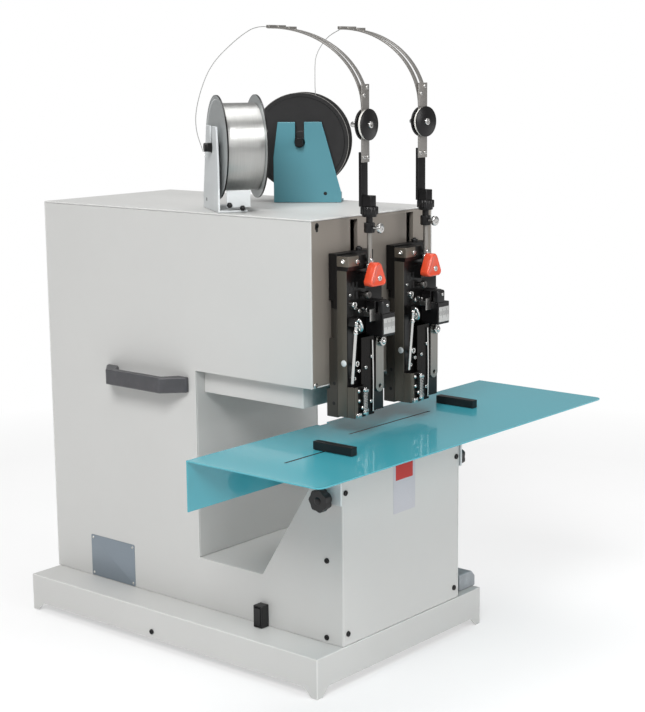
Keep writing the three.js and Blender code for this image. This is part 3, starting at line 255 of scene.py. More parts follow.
class Grain(Enum):
    """The axis along which a brushed or drawn surface is marked, as noise cells per metre."""

    ALONG_X = (14.0, 900.0, 900.0)
    ALONG_Y = (900.0, 14.0, 900.0)
    ALONG_Z = (900.0, 900.0, 14.0)


@dataclass(frozen=True)
class Finish:
    """Base of every surface finish; one material is made for each name."""

    name: str
    colour: Colour
    roughness: float = 0.5
    metallic: float = 0.0
    coat: float = 0.0
    coat_roughness: float = 0.08

    def material(self) -> bpy.types.Material:
        """The finish's material, made the first time that it is asked for.

        Returns:
            The material, whose name starts with finish_ to keep it apart from the CAD slots.
        """
        title = "finish_" + self.name
        known = bpy.data.materials.get(title)
        if known is not None:
            return known
        made = bpy.data.materials.new(title)
        made.use_nodes = True
        graph = Graph(made.node_tree)
        sockets: Sockets = {
            "Base Color": self.colour,
            "Roughness": self.roughness,
            "Metallic": self.metallic,
            "Coat Weight": self.coat,
            "Coat Roughness": self.coat_roughness,
        }
        sockets.update(self.surface(graph))
        shader = graph.node("ShaderNodeBsdfPrincipled", {}, sockets)
        graph.node("ShaderNodeOutputMaterial", {}, {"Surface": graph.term(shader)})
        return made

    def surface(self, graph: Graph) -> Sockets:
        """What changes over the surface, by the shader's socket."""
        raise NotImplementedError

    def edge(self) -> "Finish":
        """The same finish where an eased edge has been rubbed a little and lightened as a painted highlight.

        Returns:
            A lighter and smoother finish with a name of its own.
        """
        smooth = max(self.roughness - EDGE_SMOOTHER, SMOOTHEST_EDGE)
        light = scaled(self.colour, EDGE_WEAR_AND_HIGHLIGHT)
        return replace(self, name=self.name + "_edge", colour=light, roughness=smooth)


@dataclass(frozen=True)
class PowderCoat(Finish):
    """Satin powder coat: a fine orange peel, faint clouds of tone and small rubbed places."""

    peel_cells: float = 620.0
    peel_depth: float = 0.00006
    cloud_cells: float = 5.0
    clouds: float = 0.05
    handled_cells: float = 38.0
    fleck_ratio: float = 2.6

    def surface(self, graph: Graph) -> Sockets:
        """Colour and gloss drift with a wide noise; the peel is a fine noise as a height.

        Args:
            graph: The material's node tree.

        Returns:
            Colour, roughness and normal.
        """
        where = graph.coordinates()
        wide = graph.noise(where, self.cloud_cells, 3.0)
        handled = graph.noise(where, self.handled_cells, 4.0, 0.6)
        peel = graph.noise(where, self.peel_cells, 1.5)
        fleck = graph.noise(where, self.peel_cells * self.fleck_ratio, 1.0)
        share = wide * 0.6 + handled * 0.25 + fleck * 0.15
        return {
            "Base Color": graph.tones(share, self.colour, 1.0 - self.clouds, 1.0 + self.clouds),
            "Roughness": self.roughness - 0.06 + handled * 0.12,
            "Normal": graph.bump(peel, 0.35, self.peel_depth),
        }


@dataclass(frozen=True)
class Enamel(Finish):
    """Thick glossy enamel: even colour under a clear skin with faint wiping marks."""

    wave_cells: float = 30.0
    wave_depth: float = 0.0002
    wiping: Colour = (6.0, 16.0, 16.0)
    speck_cells: float = 1500.0
    drift_cells: float = 4.0

    def edge(self) -> Finish:
        """The edge's colour is darkened as painted shade, like the dark lines of slots and rims, and it is
        made duller.

        Returns:
            The edge's finish with a name of its own.
        """
        return replace(
            self, name=self.name + "_edge", colour=scaled(self.colour, ENAMEL_EDGE_PAINTED_SHADE),
            roughness=ENAMEL_EDGE_ROUGHNESS, coat=ENAMEL_EDGE_COAT,
        )

    def surface(self, graph: Graph) -> Sockets:
        """A slow wave in the skin, and wiping marks that dull it in long patches.

        Args:
            graph: The material's node tree.

        Returns:
            Colour, roughness, coat and normal.
        """
        where = graph.coordinates()
        wave = graph.noise(where, self.wave_cells, 1.0)
        wiped = graph.noise(graph.coordinates(self.wiping), 1.0, 3.0, 0.5)
        speck = graph.noise(where, self.speck_cells, 1.0)
        share = graph.noise(where, self.drift_cells, 2.0) * 0.7 + speck * 0.3
        return {
            "Base Color": graph.tones(share, self.colour, 0.94, 1.06),
            "Roughness": self.roughness + wiped * 0.08,
            "Coat Weight": self.coat - wiped * 0.12,
            "Normal": graph.bump(wave, 0.1, self.wave_depth),
        }


@dataclass(frozen=True)
class SlottedEnamel(Enamel):
    """Enamel on a slotted plate: the walls of its slots are painted dark as painted shade.

    The bounds of the slotted part and the heights just inside its two faces are row metres.
    """

    reach_x: float = 0.285
    back: float = -0.122
    front: float = -0.31
    top: float = 0.30496
    underside: float = 0.30344
    cut_tone: float = 0.06

    def surface(self, graph: Graph) -> Sockets:
        """The enamel, blackened as painted shade between the plate's two faces wherever that is inside its
        outline.

        Args:
            graph: The material's node tree.

        Returns:
            Colour, roughness, coat and normal.
        """
        sockets = super().surface(graph)
        where = graph.coordinates()
        x, y, z = (graph.axis(where, letter) for letter in "XYZ")
        wall = (z < self.top) * (z > self.underside)
        # cut marks the slot walls, which are painted dark as painted shade
        cut = wall * (x.size() < self.reach_x) * (y < self.back) * (y > self.front)
        sockets["Base Color"] = graph.blend(cut, sockets["Base Color"], scaled(self.colour, self.cut_tone))
        sockets["Coat Weight"] = sockets["Coat Weight"] * (1.0 - cut)
        return sockets


@dataclass(frozen=True)
class Brushed(Finish):
    """Metal with fine drawn lines along one axis and a little handling stain."""

    grain: Grain = Grain.ALONG_Z
    stain: float = 0.16
    stain_cells: float = 26.0
    line_depth: float = 0.00004

    def surface(self, graph: Graph) -> Sockets:
        """A noise stretched along the grain moves colour, gloss and height together.

        Args:
            graph: The material's node tree.

        Returns:
            Colour, roughness and normal.
        """
        lines = graph.noise(graph.coordinates(self.grain.value), 1.0, 4.0, 0.7)
        patch = graph.noise(graph.coordinates(), self.stain_cells, 4.0, 0.6)
        share = lines * 0.65 + patch * 0.35
        return {
            "Base Color": graph.tones(share, self.colour, 1.0 - self.stain, 1.0 + self.stain),
            "Roughness": self.roughness - 0.1 + lines * 0.12 + patch * 0.08,
            "Normal": graph.bump(lines, 0.25, self.line_depth),
        }


@dataclass(frozen=True)
class TwoTonePlate(Brushed):
    """Brushed plate that is blackened above a height."""

    above: Colour = (0.0, 0.0, 0.0)
    height: float = 0.458

    def surface(self, graph: Graph) -> Sockets:
        """The brushed look, with the second colour over it where the height is passed.

        Args:
            graph: The material's node tree.

        Returns:
            Colour, roughness and normal.
        """
        sockets = super().surface(graph)
        upper = graph.axis(graph.coordinates(), "Z") > self.height
        sockets["Base Color"] = graph.blend(upper, sockets["Base Color"], self.above)
        return sockets


@dataclass(frozen=True)
class Chrome(Finish):
    """Plated or polished steel: nearly even, with faint haze where it is touched."""

    haze_cells: float = 90.0

    def surface(self, graph: Graph) -> Sockets:
        """A cloudy haze moves the gloss and dims the colour a little.

        Args:
            graph: The material's node tree.

        Returns:
            Colour and roughness.
        """
        haze = graph.noise(graph.coordinates(), self.haze_cells, 4.0, 0.6)
        return {
            "Base Color": graph.tones(haze, self.colour, 0.82, 1.0),
            "Roughness": self.roughness + haze * 0.14,
        }


@dataclass(frozen=True)
class Moulded(Finish):
    """Moulded plastic or black enamel with a fine spark-eroded grain."""

    grain_cells: float = 900.0
    grain_depth: float = 0.00005
    scuff_cells: float = 70.0
    scuff_tone: float = 2.2

    def surface(self, graph: Graph) -> Sockets:
        """The grain is a fine noise as a height; scuffs make the high places paler and duller.

        Args:
            graph: The material's node tree.

        Returns:
            Colour, roughness and normal.
        """
        where = graph.coordinates()
        fine = graph.noise(where, self.grain_cells, 2.0, 0.6)
        scuff = graph.noise(where, self.scuff_cells, 5.0, 0.7)
        return {
            "Base Color": graph.tones(scuff ** 3.0, self.colour, 1.0, self.scuff_tone),
            "Roughness": self.roughness - 0.08 + scuff * 0.16,
            "Normal": graph.bump(fine, 0.5, self.grain_depth),
        }


@dataclass(frozen=True)
class CastSurface(Finish):
    """Sand-cast iron under thin paint: coarse pits and dull high places."""

    coarse_cells: float = 220.0
    fine_cells: float = 900.0
    pit_depth: float = 0.0003

    def surface(self, graph: Graph) -> Sockets:
        """Two sizes of noise add up to the pitted height; pits are darker.

        Args:
            graph: The material's node tree.

        Returns:
            Colour, roughness and normal.
        """
        where = graph.coordinates()
        coarse = graph.noise(where, self.coarse_cells, 4.0, 0.65)
        fine = graph.noise(where, self.fine_cells, 2.0)
        return {
            "Base Color": graph.tones(coarse, self.colour, 0.7, 1.35),
            "Roughness": self.roughness - 0.05 + coarse * 0.12,
            "Normal": graph.bump(coarse * 0.7 + fine * 0.3, 0.6, self.pit_depth),
        }


@dataclass(frozen=True)
class WoundWire(Finish):
    """Bright tinned wire: streaks that run along the turns of a reel.

    Formula: the noise is read at k u along the reel's axis, where u = x cos t + y sin t and t is
    how far the reel is turned, and barely changes round it.
    """

    turn: float = 0.0
    streak_cells: float = 850.0
    round_cells: float = 14.0
    patch_cells: float = 22.0

    def surface(self, graph: Graph) -> Sockets:
        """The streaks move tone and gloss together, over a wide change of tone.

        Args:
            graph: The material's node tree.

        Returns:
            Colour and roughness.
        """
        where = graph.coordinates()
        angle = math.radians(self.turn)
        along = graph.axis(where, "X") * math.cos(angle) + graph.axis(where, "Y") * math.sin(angle)
        sockets = {0: along * self.streak_cells, 1: graph.axis(where, "Z") * self.round_cells}
        line = graph.term(graph.node("ShaderNodeCombineXYZ", {}, sockets))
        streak = graph.noise(line, 1.0, 3.0, 0.6)
        share = streak * 0.7 + graph.noise(where, self.patch_cells, 2.0) * 0.3
        return {
            "Base Color": graph.tones(share, self.colour, 0.72, 1.15),
            "Roughness": self.roughness + streak * 0.12,
        }


@dataclass(frozen=True)
class FeltPile(Finish):
    """Pressed wool felt: short crossed fibres and a faint grey where the wire wipes it."""

    fibre_cells: float = 1600.0
    fibre_depth: float = 0.0003
    wiped_cells: float = 60.0

    def surface(self, graph: Graph) -> Sockets:
        """Fibres are a sharp fine noise as a height; the wiped tone is a wide noise.

        Args:
            graph: The material's node tree.

        Returns:
            Colour and normal.
        """
        where = graph.coordinates()
        fibres = graph.noise(where, self.fibre_cells, 6.0, 0.75)
        wiped = graph.noise(where, self.wiped_cells, 3.0)
        return {
            "Base Color": graph.tones(fibres * 0.5 + wiped * 0.5, self.colour, 0.8, 1.0),
            "Normal": graph.bump(fibres, 0.8, self.fibre_depth),
        }


@dataclass(frozen=True)
class ScaleFace(Finish):
    """Silvered scale plate: thin dark graduation lines, a longer one each fifth, no figures."""

    centre: Colour = (0.0, 0.0, 0.0)
    pitch: float = 0.0016
    tall: float = 0.0055
    line_share: float = 0.26
    fifth_share: float = 0.06
    ink: Colour = paint(40, 42, 46)
    smear_cells: float = 300.0

    def surface(self, graph: Graph) -> Sockets:
        """A line stands where the place along the plate, counted in pitches, is near a whole number.

        Args:
            graph: The material's node tree.

        Returns:
            Colour and roughness.
        """
        where = graph.coordinates(centre=self.centre)
        along = graph.axis(where, "X")
        up = graph.axis(where, "Z")
        line = (along / self.pitch + 0.5).part() < self.line_share
        fifth = (along / (self.pitch * 5.0) + 0.5).part() < self.fifth_share
        short = (up.size() < self.tall * 0.5) * line
        long = (up.size() < self.tall) * fifth
        smear = graph.noise(where, self.smear_cells, 4.0, 0.7)
        silver = graph.tones(smear, self.colour, 0.85, 1.0)
        return {
            "Base Color": graph.blend(short.top(long), silver, self.ink),
            "Roughness": self.roughness + smear * 0.15,
        }


@dataclass(frozen=True)
class BandedLabel(Finish):
    """Blank paper label: a pale field with one red band at its head, no words or signs.

    The band's heights, middle and half width are row metres.
    """

    band: Colour = (0.5, 0.02, 0.02)
    band_from: float = 0.0
    band_to: float = 1.0
    middle: float = 0.0
    half_band: float = 1.0
    mottle_cells: float = 500.0

    def surface(self, graph: Graph) -> Sockets:
        """The band lies between two heights and inside the pale margin at each side.

        Args:
            graph: The material's node tree.

        Returns:
            Colour and roughness.
        """
        where = graph.coordinates()
        height = graph.axis(where, "Z")
        aside = (graph.axis(where, "X") - self.middle).size()
        inside = (height > self.band_from) * (height < self.band_to) * (aside < self.half_band)
        mottle = graph.noise(where, self.mottle_cells, 3.0)
        field_tone = graph.tones(mottle, self.colour, 0.93, 1.0)
        band_tone = graph.tones(mottle, self.band, 0.85, 1.0)
        return {
            "Base Color": graph.blend(inside, field_tone, band_tone),
            "Roughness": self.roughness + mottle * 0.08,
        }


# Paint and plastic
BODY_PAINT = PowderCoat("body_paint", paint(197, 197, 195), roughness=0.42)
PALE_PLATE = PowderCoat("pale_plate", paint(206, 210, 211), roughness=0.36, peel_cells=420.0)
TEAL_SHEET = PowderCoat("teal_sheet", paint(80, 137, 149), roughness=0.34, peel_cells=420.0)
TEAL = SlottedEnamel("teal_enamel", paint(66, 160, 174), roughness=0.2, coat=0.65, coat_roughness=0.03)
ORANGE = Enamel("orange_gloss", paint(214, 74, 44), roughness=0.3, coat=0.5, coat_roughness=0.1)
PALE_BLUE = Moulded("pale_blue_plastic", paint(138, 143, 147), roughness=0.5, grain_cells=500.0)
BLACK_PLASTIC = Moulded("black_plastic", paint(11, 11, 12), roughness=0.42)
HANDLE_GREY = Moulded("handle_plastic", paint(62, 62, 65), roughness=0.42)
BELT = Moulded("belt_rubber", paint(26, 26, 26), roughness=0.8, grain_cells=1400.0)
# Flat dark plates and discs laid over holes, vents and the keyhole: painted shade for their dark insides
PAINTED_HOLE_SHADE = Moulded("painted_hole_shade", paint(16, 15, 15), roughness=0.8)
FELT = FeltPile("white_felt", paint(238, 236, 230), roughness=0.95)

# Blackened metal and castings
BLACK_METAL = Moulded("black_metal", paint(14, 13, 14), roughness=0.32, metallic=0.3, grain_cells=600.0)
BLACK_FLANGE = Moulded("black_flange", paint(20, 19, 20), roughness=0.42, grain_cells=300.0)
HEAD_FRONT = Moulded("head_front", paint(12, 11, 11), roughness=0.32, metallic=0.3, grain_cells=500.0)
CASTING = CastSurface("inner_casting", paint(76, 78, 80), roughness=0.7, metallic=0.4)
MOTOR_PAINT = CastSurface("motor_paint", paint(84, 102, 106), roughness=0.5, metallic=0.2)

# Drawn, brushed and plated metal
HEAD_PLATE = TwoTonePlate(
    "head_plate", paint(60, 57, 52), roughness=0.42, metallic=0.4, above=paint(16, 15, 15),
)
HEAD_SIDE = Brushed("head_side", paint(88, 84, 76), roughness=0.44, metallic=0.5, stain=0.1)
SATIN_PLATE = Brushed("satin_plate", paint(137, 130, 122), roughness=0.36, metallic=0.3, stain=0.07)
PALE_FLANGE = Brushed(
    "pale_flange", paint(184, 188, 188), roughness=0.34, metallic=0.6, grain=Grain.ALONG_Y, stain=0.06,
)
BLANK_PLATE = Brushed(
    "blank_rating_plate", paint(128, 138, 147), roughness=0.34, metallic=0.3, grain=Grain.ALONG_Y, stain=0.06,
)
DARK_STEEL = Brushed("dark_steel", paint(30, 28, 27), roughness=0.28, metallic=0.9, stain=0.3)
KNOB_STEEL = Brushed("knob_steel", paint(92, 90, 88), roughness=0.3, metallic=0.9, stain=0.1)
CLAMP_STEEL = Brushed(
    "clamp_steel", paint(116, 110, 101), roughness=0.36, metallic=0.7, grain=Grain.ALONG_X,
)
STEEL = Brushed("bright_steel", paint(196, 195, 192), roughness=0.3, metallic=1.0)
STRIP_STEEL = Brushed("strip_steel", paint(160, 157, 153), roughness=0.34, metallic=0.8, stain=0.04)
LINK_STEEL = Brushed("link_steel", paint(150, 147, 142), roughness=0.4, metallic=0.9)
CHROME = Chrome("chrome", paint(214, 213, 211), roughness=0.12, metallic=1.0)
WIRE = WoundWire("wound_wire", paint(212, 212, 210), roughness=0.24, metallic=1.0)


class Facing(Enum):
    """Which way a shell's own height axis points, as the three axes of its frame."""

    UP = ((1, 0, 0), (0, 1, 0), (0, 0, 1))
    FRONT = ((1, 0, 0), (0, 0, 1), (0, -1, 0))
    BACK = ((-1, 0, 0), (0, 0, 1), (0, 1, 0))
    LEFT = ((0, -1, 0), (0, 0, 1), (-1, 0, 0))
    RIGHT = ((0, 1, 0), (0, 0, 1), (1, 0, 0))


@dataclass(frozen=True)
class Place:
    """Where a shell goes, in the machine's millimetres.

    The shell is turned to its facing and moved to the origin, and then the whole is turned about
    the upright line through the pivot, so that an origin is written relative to that line.
    """

    origin: Spot
    facing: Facing = Facing.UP
    turn: float = 0.0
    pivot: tuple[float, float] = (0.0, 0.0)

    def carry(self, points: np.ndarray) -> np.ndarray:
        """The points x a + y b + z c + origin, turned about the pivot.

        Args:
            points: The shell's own points, n by 3.

        Returns:
            The points in the machine's millimetres.
        """
        moved = points @ np.array(self.facing.value, float) + np.array(self.origin)
        c, s = math.cos(math.radians(self.turn)), math.sin(math.radians(self.turn))
        turned_points = moved @ np.array([[c, s, 0.0], [-s, c, 0.0], [0.0, 0.0, 1.0]])
        return turned_points + np.array([*self.pivot, 0.0])


class Shape:
    """Base of what gives a shell: a small shape worked out from a few sizes."""

    def shell(self) -> "Shell":
        """The shape as arrays."""
        raise NotImplementedError


@dataclass
class Shell(Shape):
    """A surface as whole arrays: points, and tables of faces with equal numbers of corners."""

    points: np.ndarray
    faces: list[np.ndarray]

    def __add__(self, other: "Shell") -> "Shell":
        """Both shells as one."""
        moved = [table + len(self.points) for table in other.faces]
        return Shell(np.vstack([self.points, other.points]), self.faces + moved)

    def shell(self) -> "Shell":
        """The shell itself, so that it can stand where a shape does."""
        return self

    def at(self, *places: Place) -> "Shell":
        """The shell at one or more places, as one shell."""
        copies = [Shell(place.carry(self.points), self.faces) for place in places]
        return sum(copies[1:], copies[0])


class Section(Enum):
    """The outline of a turned ring."""

    ROUND = "round"
    HEX = "hex"
    CROSS = "cross"
    KNURL = "knurl"

    def factor(self, angle: np.ndarray) -> np.ndarray:
        """How far the outline reaches at each angle, as a share of its radius.

        Formula: a hexagon is cos 30 over cos of the angle from the middle of its side; a cross is
        cut where its arm's half width over the lesser of sine and cosine is under 1; a knurl is a
        cosine wave round the ring.

        Args:
            angle: The angles in radians.

        Returns:
            The shares, one for each angle.
        """
        cross_arm, knurl_depth, knurls = 0.3, 0.022, 24
        if self is Section.HEX:
            return math.cos(math.pi / 6) / np.cos(np.mod(angle, math.pi / 3) - math.pi / 6)
        if self is Section.CROSS:
            least = np.minimum(np.abs(np.sin(angle)), np.abs(np.cos(angle)))
            return np.minimum(1.0, cross_arm / np.maximum(least, 1e-6))
        if self is Section.KNURL:
            return 1.0 + knurl_depth * np.cos(angle * knurls)
        return np.ones_like(angle)


Row = tuple[float, float] | tuple[float, float, Section]


def grid_faces(rows: int, cols: int, wrap_rows: bool = False) -> np.ndarray:
    """Four-cornered faces between the neighbours of a grid of points, numbered row by row.

    Args:
        rows: Rows of points.
        cols: Points in a row; each row closes on itself.
        wrap_rows: Whether the last row joins the first.

    Returns:
        The corners of each face, n by 4.
    """
    row = np.arange(rows if wrap_rows else rows - 1)[:, None]
    col = np.arange(cols)[None, :]
    after_row = (row + 1) % rows
    after_col = (col + 1) % cols
    corners = (row * cols + col, row * cols + after_col, after_row * cols + after_col, after_row * cols + col)
    return np.stack(np.broadcast_arrays(*corners), -1).reshape(-1, 4)


def around(sides: int) -> np.ndarray:
    """The angles of the points round a ring, in radians."""
    return np.arange(sides) * (2 * math.pi / sides)


def turned(rows: Sequence[Row], sides: int = 32) -> Shell:
    """A shape turned about its height axis.

    Formula: x = r k(t) cos t, y = r k(t) sin t, z = h, where each row gives r, h and the outline
    k of its ring. A row of no radius closes to a pole when doubles are merged.

    Args:
        rows: Radius and height of each ring from one pole to the other, with its section.
        sides: Points round a ring.

    Returns:
        The closed shell.
    """
    angle = around(sides)
    reach = np.stack([row[0] * (row[2] if len(row) > 2 else Section.ROUND).factor(angle) for row in rows])
    height = np.repeat(np.array([row[1] for row in rows])[:, None], sides, 1)
    points = np.stack([reach * np.cos(angle), reach * np.sin(angle), height], -1).reshape(-1, 3)
    return Shell(points, [grid_faces(len(rows), sides)])


def ringed(profile: np.ndarray, sides: int = 96) -> Shell:
    """A closed profile of radius and height turned about the height axis, like a tyre.

    Formula: x = r cos t, y = r sin t, z = h for each corner (r, h) of the profile and each angle t.

    Args:
        profile: Radius and height of each corner, n by 2.
        sides: Points round the ring.

    Returns:
        The closed shell.
    """
    angle = around(sides)
    reach = profile[:, :1]
    height = np.repeat(profile[:, 1:], sides, 1)
    points = np.stack([reach * np.cos(angle), reach * np.sin(angle), height], -1).reshape(-1, 3)
    return Shell(points, [grid_faces(len(profile), sides, wrap_rows=True)])


def rounded_outline(half_a: float, half_b: float, corner: float, steps: int = 5) -> np.ndarray:
    """Rectangle with round corners: each corner is a quarter circle about its own centre.

    Args:
        half_a: Half its width.
        half_b: Half its other width.
        corner: Radius of its corners.
        steps: Points in a corner.

    Returns:
        The outline's points, n by 2.
    """
    angle = np.arange(4)[:, None] * (math.pi / 2) + np.linspace(0, math.pi / 2, steps)[None, :]
    signs = np.array([[1, 1], [-1, 1], [-1, -1], [1, -1]], float)[:, None, :]
    centres = signs * np.array([half_a - corner, half_b - corner])
    round_part = corner * np.stack([np.cos(angle), np.sin(angle)], -1)
    return (centres + round_part).reshape(-1, 2)


def layered(rings: Sequence[tuple[np.ndarray, float]]) -> Shell:
    """Outlines with equal numbers of points, joined one above the other and capped.

    Formula: each point (x, y) of an outline stands at that outline's height.

    Args:
        rings: Each outline and its height.

    Returns:
        The closed shell.
    """
    count = len(rings[0][0])
    points = np.vstack([np.column_stack([ring, np.full(count, height)]) for ring, height in rings])
    low = np.arange(count)[None, ::-1]
    high = np.arange(count)[None, :] + count * (len(rings) - 1)
    return Shell(points, [grid_faces(len(rings), count), low, high])


def swept(path: np.ndarray, outline: np.ndarray, lead: Spot = (1.0, 0.0, 0.0)) -> Shell:
    """A section carried along a path.

    Formula: p + u a + v b for each corner (u, v) of the section, where a is the lead direction
    made square to the path and b is square to both.

    Args:
        path: The points of the centre line.
        outline: The section's corners.
        lead: The direction of the section's first axis.

    Returns:
        The capped shell.
    """
    along = np.gradient(path, axis=0)
    along /= np.linalg.norm(along, axis=1, keepdims=True)
    first = np.broadcast_to(np.array(lead, float), path.shape)
    first = first - np.sum(first * along, 1, keepdims=True) * along
    first /= np.linalg.norm(first, axis=1, keepdims=True)
    second = np.cross(along, first)
    ring = outline[None, :, :1] * first[:, None, :] + outline[None, :, 1:] * second[:, None, :]
    points = (path[:, None, :] + ring).reshape(-1, 3)
    sides = len(outline)
    last = np.arange(sides)[None, :] + sides * (len(path) - 1)
    return Shell(points, [grid_faces(len(path), sides), np.arange(sides)[None, ::-1], last])


def tube(path: np.ndarray, radius: float, sides: int = 10, lead: Spot = (1.0, 0.0, 0.0)) -> Shell:
    """A round section carried along a path: the section's corners are r cos t and r sin t."""
    angle = around(sides)
    return swept(path, radius * np.stack([np.cos(angle), np.sin(angle)], -1), lead)


def spline(points: Sequence[Spot], steps: int = 8) -> np.ndarray:
    """A smooth line through points.

    Formula: a centripetal Catmull-Rom spline, whose knots are spaced by the root of the distance
    between points, as cubic pieces between each two of them. Two points alone give a straight line.

    Args:
        points: The points that the line passes through.
        steps: Pieces between each two points.

    Returns:
        The points along the line.
    """
    p = np.array(points, float)
    p = np.vstack([2 * p[0] - p[1], p, 2 * p[-1] - p[-2]])
    gap = np.sqrt(np.linalg.norm(np.diff(p, axis=0), axis=1))[:, None]
    a, b, c, d = p[:-3], p[1:-2], p[2:-1], p[3:]
    ga, gb, gc = gap[:-2], gap[1:-1], gap[2:]
    start = ((b - a) / ga - (c - a) / (ga + gb) + (c - b) / gb) * gb
    end = ((c - b) / gb - (d - b) / (gb + gc) + (d - c) / gc) * gb
    w = (np.arange(steps) / steps)[None, :, None]
    b, c, start, end = (v[:, None, :] for v in (b, c, start, end))
    line = (2 * w**3 - 3 * w**2 + 1) * b + (w**3 - 2 * w**2 + w) * start
    line = line + (3 * w**2 - 2 * w**3) * c + (w**3 - w**2) * end
    return np.vstack([line.reshape(-1, 3), p[-2:-1]])


@dataclass(frozen=True)
class Lathe(Shape):
    """A shape turned from rows of radius, height and section."""

    rows: tuple[Row, ...]
    sides: int = 24

    def shell(self) -> Shell:
        """The rows turned about the height axis."""
        return turned(self.rows, self.sides)


@dataclass(frozen=True)
class Block(Shape):
    """A plate or block with round corners and an eased upper edge, standing on its lower face."""

    half_wide: float
    half_tall: float
    thick: float
    corner: float
    edge: float

    def shell(self) -> Shell:
        """The block as outlines, one above the other.

        Formula: along the ease the outline draws in by e (1 - cos q) while its height grows to
        thick - e + e sin q, for q from nothing to a quarter turn.

        Returns:
            The closed shell.
        """
        sharpest = 0.05
        quarter = np.linspace(0, math.pi / 2, 4)
        insets = np.concatenate([[0.0], self.edge * (1 - np.cos(quarter))])
        heights = np.concatenate([[0.0], self.thick - self.edge + self.edge * np.sin(quarter)])
        rings = []
        for inset, height in zip(insets, heights):
            corner = max(self.corner - inset, sharpest)
            outline = rounded_outline(self.half_wide - inset, self.half_tall - inset, corner)
            rings.append((outline, float(height)))
        return layered(rings)


@dataclass(frozen=True)
class Pipe(Shape):
    """A round bar or tube along a smooth line."""

    points: tuple[Spot, ...]
    radius: float
    sides: int = 12
    steps: int = 8

    def shell(self) -> Shell:
        """A circle carried along the line."""
        return tube(spline(self.points, self.steps), self.radius, self.sides)


@dataclass(frozen=True)
class Coil(Shape):
    """A wound wire about the height axis, half of it on each side of the origin."""

    radius: float
    wire: float
    length: float
    turns: int
    steps: int = 16

    def shell(self) -> Shell:
        """A circle carried along r cos t, r sin t and a height that grows with t.

        Returns:
            The capped shell.
        """
        share = np.linspace(0, 1, self.turns * self.steps + 1)
        angle = share * self.turns * 2 * math.pi
        height = (share - 0.5) * self.length
        path = np.stack([self.radius * np.cos(angle), self.radius * np.sin(angle), height], -1)
        return tube(path, self.wire, 6, (0.0, 0.0, 1.0))


@dataclass(frozen=True)
class Screw(Shape):
    """A round-headed screw with a recess."""

    radius: float
    height: float
    recess: Section = Section.HEX
    sides: int = 24

    def shell(self) -> Shell:
        """Rings from the recess floor out over the head and down to its seat.

        Each ring is a share of the head's radius and height.

        Returns:
            The closed shell.
        """
        r, h, hole = self.radius, self.height, self.radius * 0.52
        rows = (
            (0.0, h * 0.4), (hole, h * 0.4, self.recess), (hole, h * 0.97, self.recess), (hole * 1.08, h),
            (r * 0.84, h), (r * 0.95, h * 0.9), (r, h * 0.7), (r, 0.0), (0.0, 0.0),
        )
        return turned(rows, self.sides)


@dataclass(frozen=True)
class Nut(Shape):
    """A hexagon nut with a turned chamfer and the rounded end of its stud."""

    radius: float
    height: float
    stud: float
    sides: int = 24

    def shell(self) -> Shell:
        """Hexagon rings under a round chamfer, then the stud's end.

        Each ring is a share of the nut's radius and height, or of the stud's radius.

        Returns:
            The closed shell.
        """
        r, h, s = self.radius, self.height, self.stud
        rows = (
            (0.0, 0.0), (r * 0.9, 0.0), (r, h * 0.12, Section.HEX), (r, h * 0.84, Section.HEX),
            (r * 0.84, h), (s * 1.05, h), (s, h * 1.02), (s, h * 1.3), (s * 0.7, h * 1.45), (0.0, h * 1.48),
        )
        return turned(rows, self.sides)


def row_metres(points: np.ndarray) -> np.ndarray:
    """Points in the machine's millimetres as metres in the row frame."""
    return (points + ROW_SHIFT) * MM


def mesh_of(name: str, shell: Shell) -> bpy.types.Mesh:
    """A mesh from a shell, with doubles merged and every normal outwards.

    Args:
        name: The mesh's name.
        shell: The surface in the machine's millimetres.

    Returns:
        The mesh in row metres.
    """
    mesh = bpy.data.meshes.new(name)
    points = row_metres(shell.points)
    corners = np.concatenate([table.ravel() for table in shell.faces])
    sizes = np.concatenate([np.full(len(table), table.shape[1]) for table in shell.faces])
    starts = np.concatenate([[0], np.cumsum(sizes)[:-1]])
    mesh.vertices.add(len(points))
    mesh.vertices.foreach_set("co", points.ravel())
    mesh.loops.add(len(corners))
    mesh.loops.foreach_set("vertex_index", corners.astype(np.int32))
    mesh.polygons.add(len(sizes))
    mesh.polygons.foreach_set("loop_start", starts.astype(np.int32))
    mesh.update(calc_edges=True)
    mesh.validate()
    clean_mesh(mesh, False)
    return mesh


def clean_mesh(mesh: bpy.types.Mesh, flatten: bool) -> None:
    """Merges doubles, drops faces of no size and points the rest outwards.

    Args:
        mesh: The mesh, changed in place.
        flatten: Whether level neighbours are joined into one face first.
    """
    work = bmesh.new()
    work.from_mesh(mesh)
    bmesh.ops.remove_doubles(work, verts=work.verts, dist=MERGE_WITHIN)
    bmesh.ops.dissolve_degenerate(work, edges=work.edges, dist=SHORTEST_EDGE)
    if flatten:
        limit = math.radians(LEVEL_WITHIN)
        bmesh.ops.dissolve_limit(work, angle_limit=limit, verts=work.verts, edges=work.edges)
    bmesh.ops.recalc_face_normals(work, faces=work.faces)
    work.to_mesh(mesh)
    work.free()


def finished(mesh: bpy.types.Mesh, name: str, finish: Finish, angle: float) -> bpy.types.Object:
    """An object in the scene with smooth shading and its finish.

    Args:
        mesh: Its mesh.
        name: Its name.
        finish: The finish of its faces.
        angle: The angle in degrees past which an edge stays sharp.

    Returns:
        The new object.
    """
    mesh.polygons.foreach_set("use_smooth", np.ones(len(mesh.polygons), bool))
    mesh.set_sharp_from_angle(angle=math.radians(angle))
    mesh.materials.append(finish.material())
    made = bpy.data.objects.new(name, mesh)
    bpy.context.scene.collection.objects.link(made)
    return made


